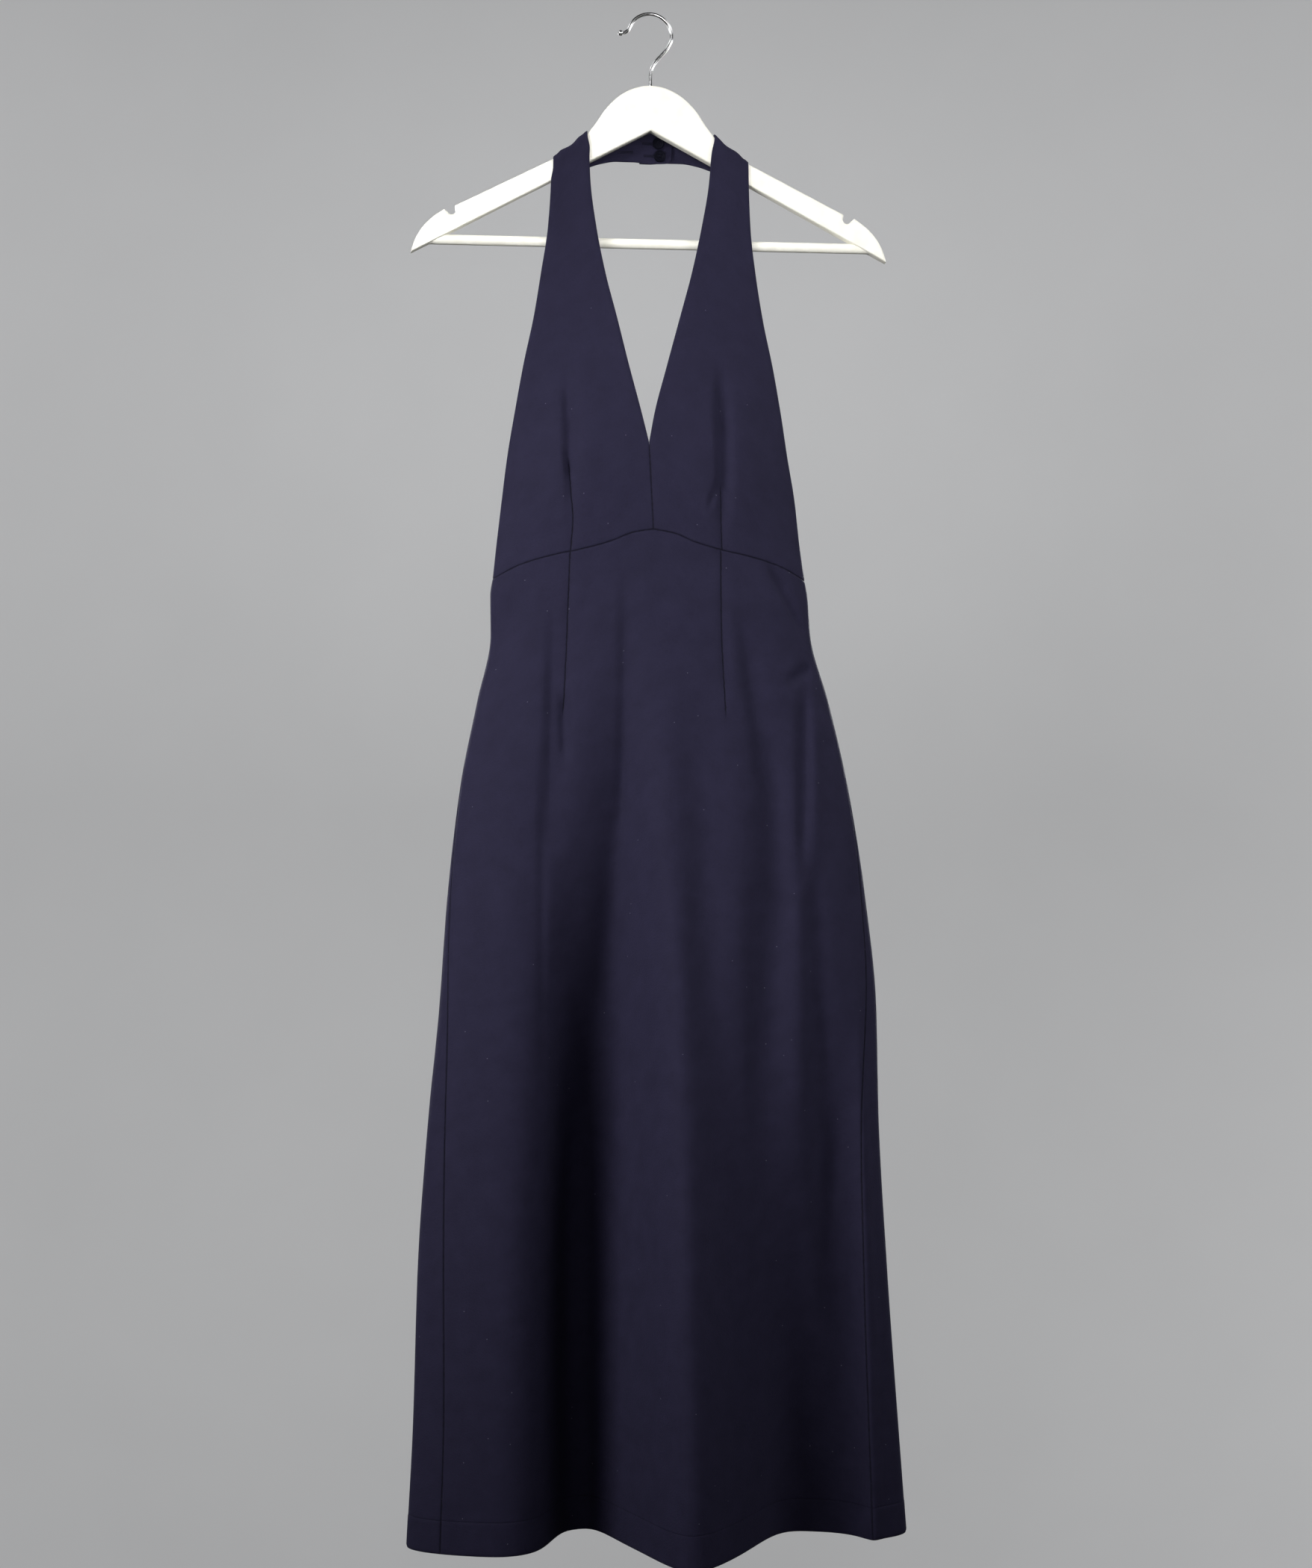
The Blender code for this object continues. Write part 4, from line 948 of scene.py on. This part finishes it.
Buttonhole = namedtuple("Buttonhole", "name x z length slant")
BUTTONHOLES = [
    Buttonhole("lower_buttonhole", 2.6, -129.3, 14.5, -1.0),
    Buttonhole("upper_buttonhole", 1.0, -117.6, 14.5, -2.0),
    Buttonhole("spare_buttonhole", -22.8, -126.4, 14.5, 3.0),
]
BINDING_HALF = 0.75
BINDING_R = 0.42
BINDING_POINTS = 60

for hole in BUTTONHOLES:
    route = []
    for i in range(BINDING_POINTS):
        turn = 2.0 * math.pi * i / BINDING_POINTS
        long = (hole.length / 2.0 - BINDING_HALF) * max(-1.0, min(1.0, 1.6 * math.cos(turn)))
        long += BINDING_HALF * math.cos(turn)
        wide = BINDING_HALF * (1.0 if math.sin(turn) > 0 else -1.0) * min(1.0, 3.0 * abs(math.sin(turn)))
        slant = math.radians(hole.slant)
        x = hole.x + long * math.cos(slant) - wide * math.sin(slant)
        z = hole.z + long * math.sin(slant) + wide * math.cos(slant)
        route.append((x, band_front_y - 0.1, z))
    binding = tube(hole.name, route, BINDING_R, loop=True)
    binding.data.materials.append(navy_thread)
    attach(binding, "root")

# Hanger board
# A flat hanger cut from board, with a bell-shaped crown, a notch for straps near each tip and softened edges. It is
# painted creamy white over the wood's faint grain.

HANGER_THICK = 12.0
HANGER_ROUNDING = 2.0
ARCH_Z = -109.3
ARM_SLOPE = 0.5
TIP_X = 224.3
TIP_Z = -228.0
NOTCH_X = 186.7
NOTCH_Z = -188.1
NOTCH_R = 4.3


def hanger_outline():
    """The right half of the hanger's outline, from the top of the bell round the tip to the arch."""
    points = hanger_top(3)
    straight_x, straight_z = points[-1]
    lip_x = NOTCH_X - NOTCH_R * 0.8
    points.append((lip_x, straight_z - (lip_x - straight_x) * ARM_SLOPE))
    for step in range(8):
        angle = math.radians(155.0 + step * 25.0)
        points.append((NOTCH_X + NOTCH_R * math.cos(angle), NOTCH_Z + NOTCH_R * math.sin(angle)))
    lobe_start = (193.6, -187.4)
    points.append(lobe_start)
    points += bezier(lobe_start, (210.5, -197.4), (220.5, -210.0), (TIP_X, TIP_Z), 7)
    return points


def drawn_in(outline, distance):
    """The outline, which runs clockwise, moved inwards everywhere by a distance."""
    result = []
    for before, point, after in zip(outline[-1:] + outline[:-1], outline, outline[1:] + outline[:1]):
        into = Vector((point[0] - before[0], point[1] - before[1])).normalized()
        onward = Vector((after[0] - point[0], after[1] - point[1])).normalized()
        inward = Vector((into.y + onward.y, -into.x - onward.x)).normalized()
        reach = distance / max(0.5, inward.dot(Vector((onward.y, -onward.x))))
        result.append((point[0] + inward.x * reach, point[1] + inward.y * reach))
    return result


right_half = hanger_outline()
outline = right_half + [(0.0, ARCH_Z)] + [(-x, z) for x, z in reversed(right_half[1:])]
board = bmesh.new()
rings = []
ROUNDING_STEPS = (90.0, 70.0, 50.0, 30.0, 12.0, 0.0)
for face in (-1, 1):
    for degrees in ROUNDING_STEPS[::-face]:
        angle = math.radians(degrees)
        y = face * (HANGER_THICK / 2.0 - HANGER_ROUNDING * (1.0 - math.sin(angle)))
        edge = drawn_in(outline, HANGER_ROUNDING * (1.0 - math.cos(angle)))
        rings.append([board.verts.new(Vector((x, y, z)) * MM) for x, z in edge])
for before, after in zip(rings, rings[1:]):
    for i in range(len(outline)):
        j = (i + 1) % len(outline)
        board.faces.new((before[i], before[j], after[j], after[i]))
board.faces.new(rings[0])
board.faces.new(rings[-1])
bmesh.ops.recalc_face_normals(board, faces=board.faces)
hanger_board = finished_mesh("hanger_board", board, sharp=42.0)

# Paint over wood: the grain just shows as long low ridges, and the coat is a little uneven
grained, put, out = shader_group("Painted grain", {"Along": 14.0, "Across": 260.0}, ["Grain", "Brush"])
stretch = add_node(grained, "ShaderNodeCombineXYZ", {"X": put["Along"], "Y": put["Across"], "Z": put["Across"]})
laid = add_node(grained, "ShaderNodeVectorMath", {0: put["Place"], 1: stretch.outputs[0]}, operation="MULTIPLY")
ridges = noise(grained, laid.outputs[0], 1.0, 5.0, roughness=0.62)
coat = noise(grained, put["Place"], 60.0, 4.0)
grained.links.new(ridges, out["Grain"])
grained.links.new(coat, out["Brush"])

CREAM = (0.90, 0.885, 0.80, 1.0)
CREAM_DEEP = (0.84, 0.815, 0.71, 1.0)

cream_paint, tree, shader = new_material("Cream paint on wood")
grain = add_node(tree, "ShaderNodeGroup", {"Place": object_place(tree)}, node_tree=grained).outputs
worn = add_node(tree, "ShaderNodeMapRange", {"Value": grain["Brush"], "From Min": 0.45, "From Max": 0.8})
ridged = bump(tree, grain["Grain"], 0.00025, 0.5)
set_inputs(tree, shader, {
    "Base Color": mix_colours(tree, worn.outputs[0], CREAM, CREAM_DEEP),
    "Roughness": plus(tree, 0.34, times(tree, grain["Brush"], 0.2)),
    "Normal": bump(tree, grain["Brush"], 0.0004, 0.25, under=ridged),
})

hanger_board.data.materials.append(cream_paint)
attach(hanger_board, "root")
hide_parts("hanger_body")

# Hanger bar
# A turned wooden dowel between the two arms, painted as the board is. Each end is cut to the arm's slope.

BAR_R = 4.7
BAR_Z = -215.0
BAR_SIDES = 48
BAR_LENGTHS = 24

slope = (TIP_Z - ARCH_Z) / TIP_X
dowel = bmesh.new()
rings = []
for step in range(BAR_LENGTHS + 1):
    share = 2.0 * step / BAR_LENGTHS - 1.0
    ring = []
    for i in range(BAR_SIDES):
        angle = 2.0 * math.pi * i / BAR_SIDES
        z = BAR_Z + BAR_R * math.sin(angle)
        reach = (z - ARCH_Z) / slope
        ring.append(dowel.verts.new(Vector((share * reach, BAR_R * math.cos(angle), z)) * MM))
    rings.append(ring)
for before, after in zip(rings, rings[1:]):
    for i in range(BAR_SIDES):
        j = (i + 1) % BAR_SIDES
        dowel.faces.new((before[i], before[j], after[j], after[i]))
dowel.faces.new(rings[0])
dowel.faces.new(rings[-1])
bmesh.ops.recalc_face_normals(dowel, faces=dowel.faces)
hanger_bar = finished_mesh("hanger_dowel", dowel)
hanger_bar.data.materials.append(cream_paint)
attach(hanger_bar, "root")
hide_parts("hanger_bar")

# Hook
# Bright plated steel wire, screwed into the crown, bent to a hook and finished with a small ball.

WIRE_R = 1.5
HOOK_R = 20.6
HOOK_CENTRE_X = -0.6
HOOK_TIP_SWELL = 1.7
HOOK_BEND_FROM = -8.0
HOOK_BEND_STEP = 10.5
HOOK_BENDS = 17
BALL_STEPS = 14
BALL_PAST_END = 1.6
WirePoint = namedtuple("WirePoint", "x z")
HOOK_STEM = [
    WirePoint(0.0, -66.8),
    WirePoint(0.0, -57.6),
    WirePoint(0.7, -51.2),
    WirePoint(2.3, -47.4),
    WirePoint(5.6, -42.3),
    WirePoint(10.5, -37.0),
    WirePoint(15.2, -31.4),
    WirePoint(18.5, -25.4),
]
HOOK_TIP = [
    WirePoint(-21.4, -14.6),
    WirePoint(-23.8, -16.4),
    WirePoint(-26.4, -17.2),
]


def rounded_route(points, steps):
    """More points along a line of (x, z) points, on a smooth curve through them."""
    ends = [points[0]] + list(points) + [points[-1]]
    result = []
    for p0, p1, p2, p3 in zip(ends, ends[1:], ends[2:], ends[3:]):
        for i in range(steps):
            t = i / steps
            weights = (
                -0.5 * t + t * t - 0.5 * t ** 3,
                1.0 - 2.5 * t * t + 1.5 * t ** 3,
                0.5 * t + 2.0 * t * t - 1.5 * t ** 3,
                -0.5 * t * t + 0.5 * t ** 3,
            )
            result.append(tuple(sum(w * p[k] for w, p in zip(weights, (p0, p1, p2, p3))) for k in (0, 1)))
    result.append(tuple(points[-1]))
    return result


hook_centre_z = WIRE_R - HOOK_R
bends = [(point.x, point.z) for point in HOOK_STEM]
for step in range(HOOK_BENDS):
    angle = math.radians(HOOK_BEND_FROM + step * HOOK_BEND_STEP)
    bends.append((HOOK_CENTRE_X + HOOK_R * math.cos(angle), hook_centre_z + HOOK_R * math.sin(angle)))
bends += [(point.x, point.z) for point in HOOK_TIP]
bends = rounded_route(bends, 5)
hook = tube("hook_wire", [(x, 0.0, z) for x, z in bends], WIRE_R, sides=20)
end_x, end_z = bends[-1]
profile = []
for i in range(BALL_STEPS + 1):
    turn = math.pi * i / BALL_STEPS
    profile.append((WIRE_R * HOOK_TIP_SWELL * math.sin(turn), -WIRE_R * HOOK_TIP_SWELL * math.cos(turn)))
ball = spin_profile(profile, 32)
hook_ball = finished_mesh("hook_ball", ball)
hook_ball.location = Vector((end_x - BALL_PAST_END, 0.0, end_z)) * MM
hook_ball.rotation_euler = (0.0, 0.0, math.pi / 2.0)

plated_wire, tree, shader = new_material("Plated wire")
drawn = noise(tree, object_place(tree), 500.0, 4.0)
set_inputs(tree, shader, {
    "Base Color": mix_colours(tree, drawn, (0.46, 0.46, 0.47, 1.0), (0.62, 0.62, 0.63, 1.0)),
    "Metallic": 1.0,
    "Roughness": plus(tree, 0.12, times(tree, drawn, 0.22)),
    "Normal": bump(tree, drawn, 0.00003, 0.6),
})

hook.data.materials.append(plated_wire)
hook_ball.data.materials.append(plated_wire)
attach(hook, "root")
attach(hook_ball, "root")
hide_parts("hanger_hook")

# Studio
# A plain pale bowl of paper, flat as a floor and curved up all round. In front a broad key from the left is helped by
# a weaker fill and two small lamps; two more light the back, and six wide ones light only the paper.

FLOOR_Z = -3.0
FLOOR_R = 3.0
BOWL_R = 5.2
BOWL_TOP = 7.0
BOWL_SIDES = 96
COVE_STEPS = 24

bowl_line = [(0.0, FLOOR_Z), (FLOOR_R, FLOOR_Z)]
cove = BOWL_R - FLOOR_R
for i in range(1, COVE_STEPS + 1):
    angle = math.radians(90.0 * i / COVE_STEPS)
    bowl_line.append((FLOOR_R + cove * math.sin(angle), FLOOR_Z + cove * (1.0 - math.cos(angle))))
bowl_line.append((BOWL_R, BOWL_TOP))
paper = bmesh.new()
line = [paper.verts.new((radius, 0.0, z)) for radius, z in bowl_line]
edges = [paper.edges.new(pair) for pair in zip(line, line[1:])]
full_turn = 2.0 * math.pi
bmesh.ops.spin(paper, geom=line + edges, cent=(0, 0, 0), axis=(0, 0, 1), angle=full_turn, steps=BOWL_SIDES)
bmesh.ops.remove_doubles(paper, verts=paper.verts, dist=0.0001)
backdrop = finished_mesh("backdrop", paper)

pale_paper, tree, shader = new_material("Pale paper")
mottle = noise(tree, object_place(tree), 3.0, 3.0)
seen_paper = mix_colours(tree, mottle, (0.76, 0.765, 0.775, 1.0), (0.80, 0.805, 0.815, 1.0))
seen = add_node(tree, "ShaderNodeLightPath", {}).outputs["Is Camera Ray"]
set_inputs(tree, shader, {
    "Base Color": mix_colours(tree, seen, (0.05, 0.05, 0.05, 1.0), seen_paper),
    "Roughness": 0.9,
    "Specular IOR Level": 0.1,
})
backdrop.data.materials.append(pale_paper)

Lamp = namedtuple("Lamp", "name place aim width height spread watts")
LAMPS = [
    Lamp("key from left", (-2.65, -1.79, -0.10), (0.0, 0.0, -0.66), 1.5, 0.8, 40.0, 8.2),
    Lamp("fill from right", (2.38, -2.14, -0.10), (0.0, 0.0, -0.56), 1.5, 0.8, 40.0, 3.5),
    Lamp("front", (-0.44, -3.17, 0.30), (0.0, 0.0, -0.58), 0.9, 0.8, 40.0, 1.3),
    Lamp("low front", (-0.30, -3.00, -0.42), (0.0, 0.0, -0.08), 0.5, 0.5, 20.0, 0.5),
    Lamp("back left", (-1.25, 2.90, 0.10), (0.0, 0.0, -0.66), 0.9, 0.8, 40.0, 4.0),
    Lamp("back right", (1.55, 2.70, 0.10), (0.0, 0.0, -0.60), 0.9, 0.8, 40.0, 6.0),
    Lamp("wall left", (-2.4, 1.0, 1.6), (-0.4, 4.0, -0.6), 2.0, 1.0, 150.0, 60.0),
    Lamp("wall right", (2.4, 1.0, 1.6), (0.4, 4.0, -0.6), 2.0, 1.0, 150.0, 60.0),
    Lamp("front wall left", (-2.4, -1.0, 1.6), (-0.4, -4.0, -0.6), 2.0, 1.0, 150.0, 60.0),
    Lamp("front wall right", (2.4, -1.0, 1.6), (0.4, -4.0, -0.6), 2.0, 1.0, 150.0, 60.0),
    Lamp("side wall left", (-1.6, 0.0, 1.8), (-5.0, 0.0, -0.8), 2.0, 1.0, 140.0, 50.0),
    Lamp("side wall right", (1.6, 0.0, 1.8), (5.0, 0.0, -0.8), 2.0, 1.0, 140.0, 50.0),
]
for lamp in LAMPS:
    light = bpy.data.lights.new(lamp.name, "AREA")
    light.shape = "RECTANGLE"
    light.size = lamp.width
    light.size_y = lamp.height
    light.spread = math.radians(lamp.spread)
    light.energy = lamp.watts
    stand = bpy.data.objects.new(lamp.name, light)
    stand.location = lamp.place
    stand.rotation_euler = (Vector(lamp.aim) - Vector(lamp.place)).to_track_quat("-Z", "Y").to_euler()
    stand.visible_camera = False
    bpy.context.scene.collection.objects.link(stand)

world = bpy.data.worlds.new("Studio air")
world.use_nodes = True
air = world.node_tree.nodes["Background"]
set_inputs(world.node_tree, air, {"Color": (0.9, 0.93, 1.0, 1.0), "Strength": 0.025})
bpy.context.scene.world = world
bpy.context.scene.view_settings.view_transform = "Standard"

# Camera
# Level with the middle of the skirt, 2.5 m away and a little to the left, as the photograph was taken.

CAMERA_DISTANCE = 2.5
CAMERA_YAW = 6.5
CAMERA_Z = -0.7224
PIXEL_AT_HOOK = 0.000702
CENTRE_PIXEL_OFFSET = 7.5
SENSOR_WIDTH = 36.0
PICTURE_HEIGHT = 2100.0

yaw = math.radians(CAMERA_YAW)
camera_data = bpy.data.cameras.new("camera")
camera_data.sensor_width = SENSOR_WIDTH
camera_data.lens = SENSOR_WIDTH / PICTURE_HEIGHT * CAMERA_DISTANCE / PIXEL_AT_HOOK
camera = bpy.data.objects.new("camera", camera_data)
aside = CENTRE_PIXEL_OFFSET * PIXEL_AT_HOOK
camera.location = (
    -CAMERA_DISTANCE * math.sin(yaw) + aside * math.cos(yaw),
    -CAMERA_DISTANCE * math.cos(yaw) - aside * math.sin(yaw),
    CAMERA_Z,
)
camera.rotation_euler = (math.pi / 2.0, 0.0, -yaw)
bpy.context.scene.collection.objects.link(camera)
bpy.context.scene.camera = camera
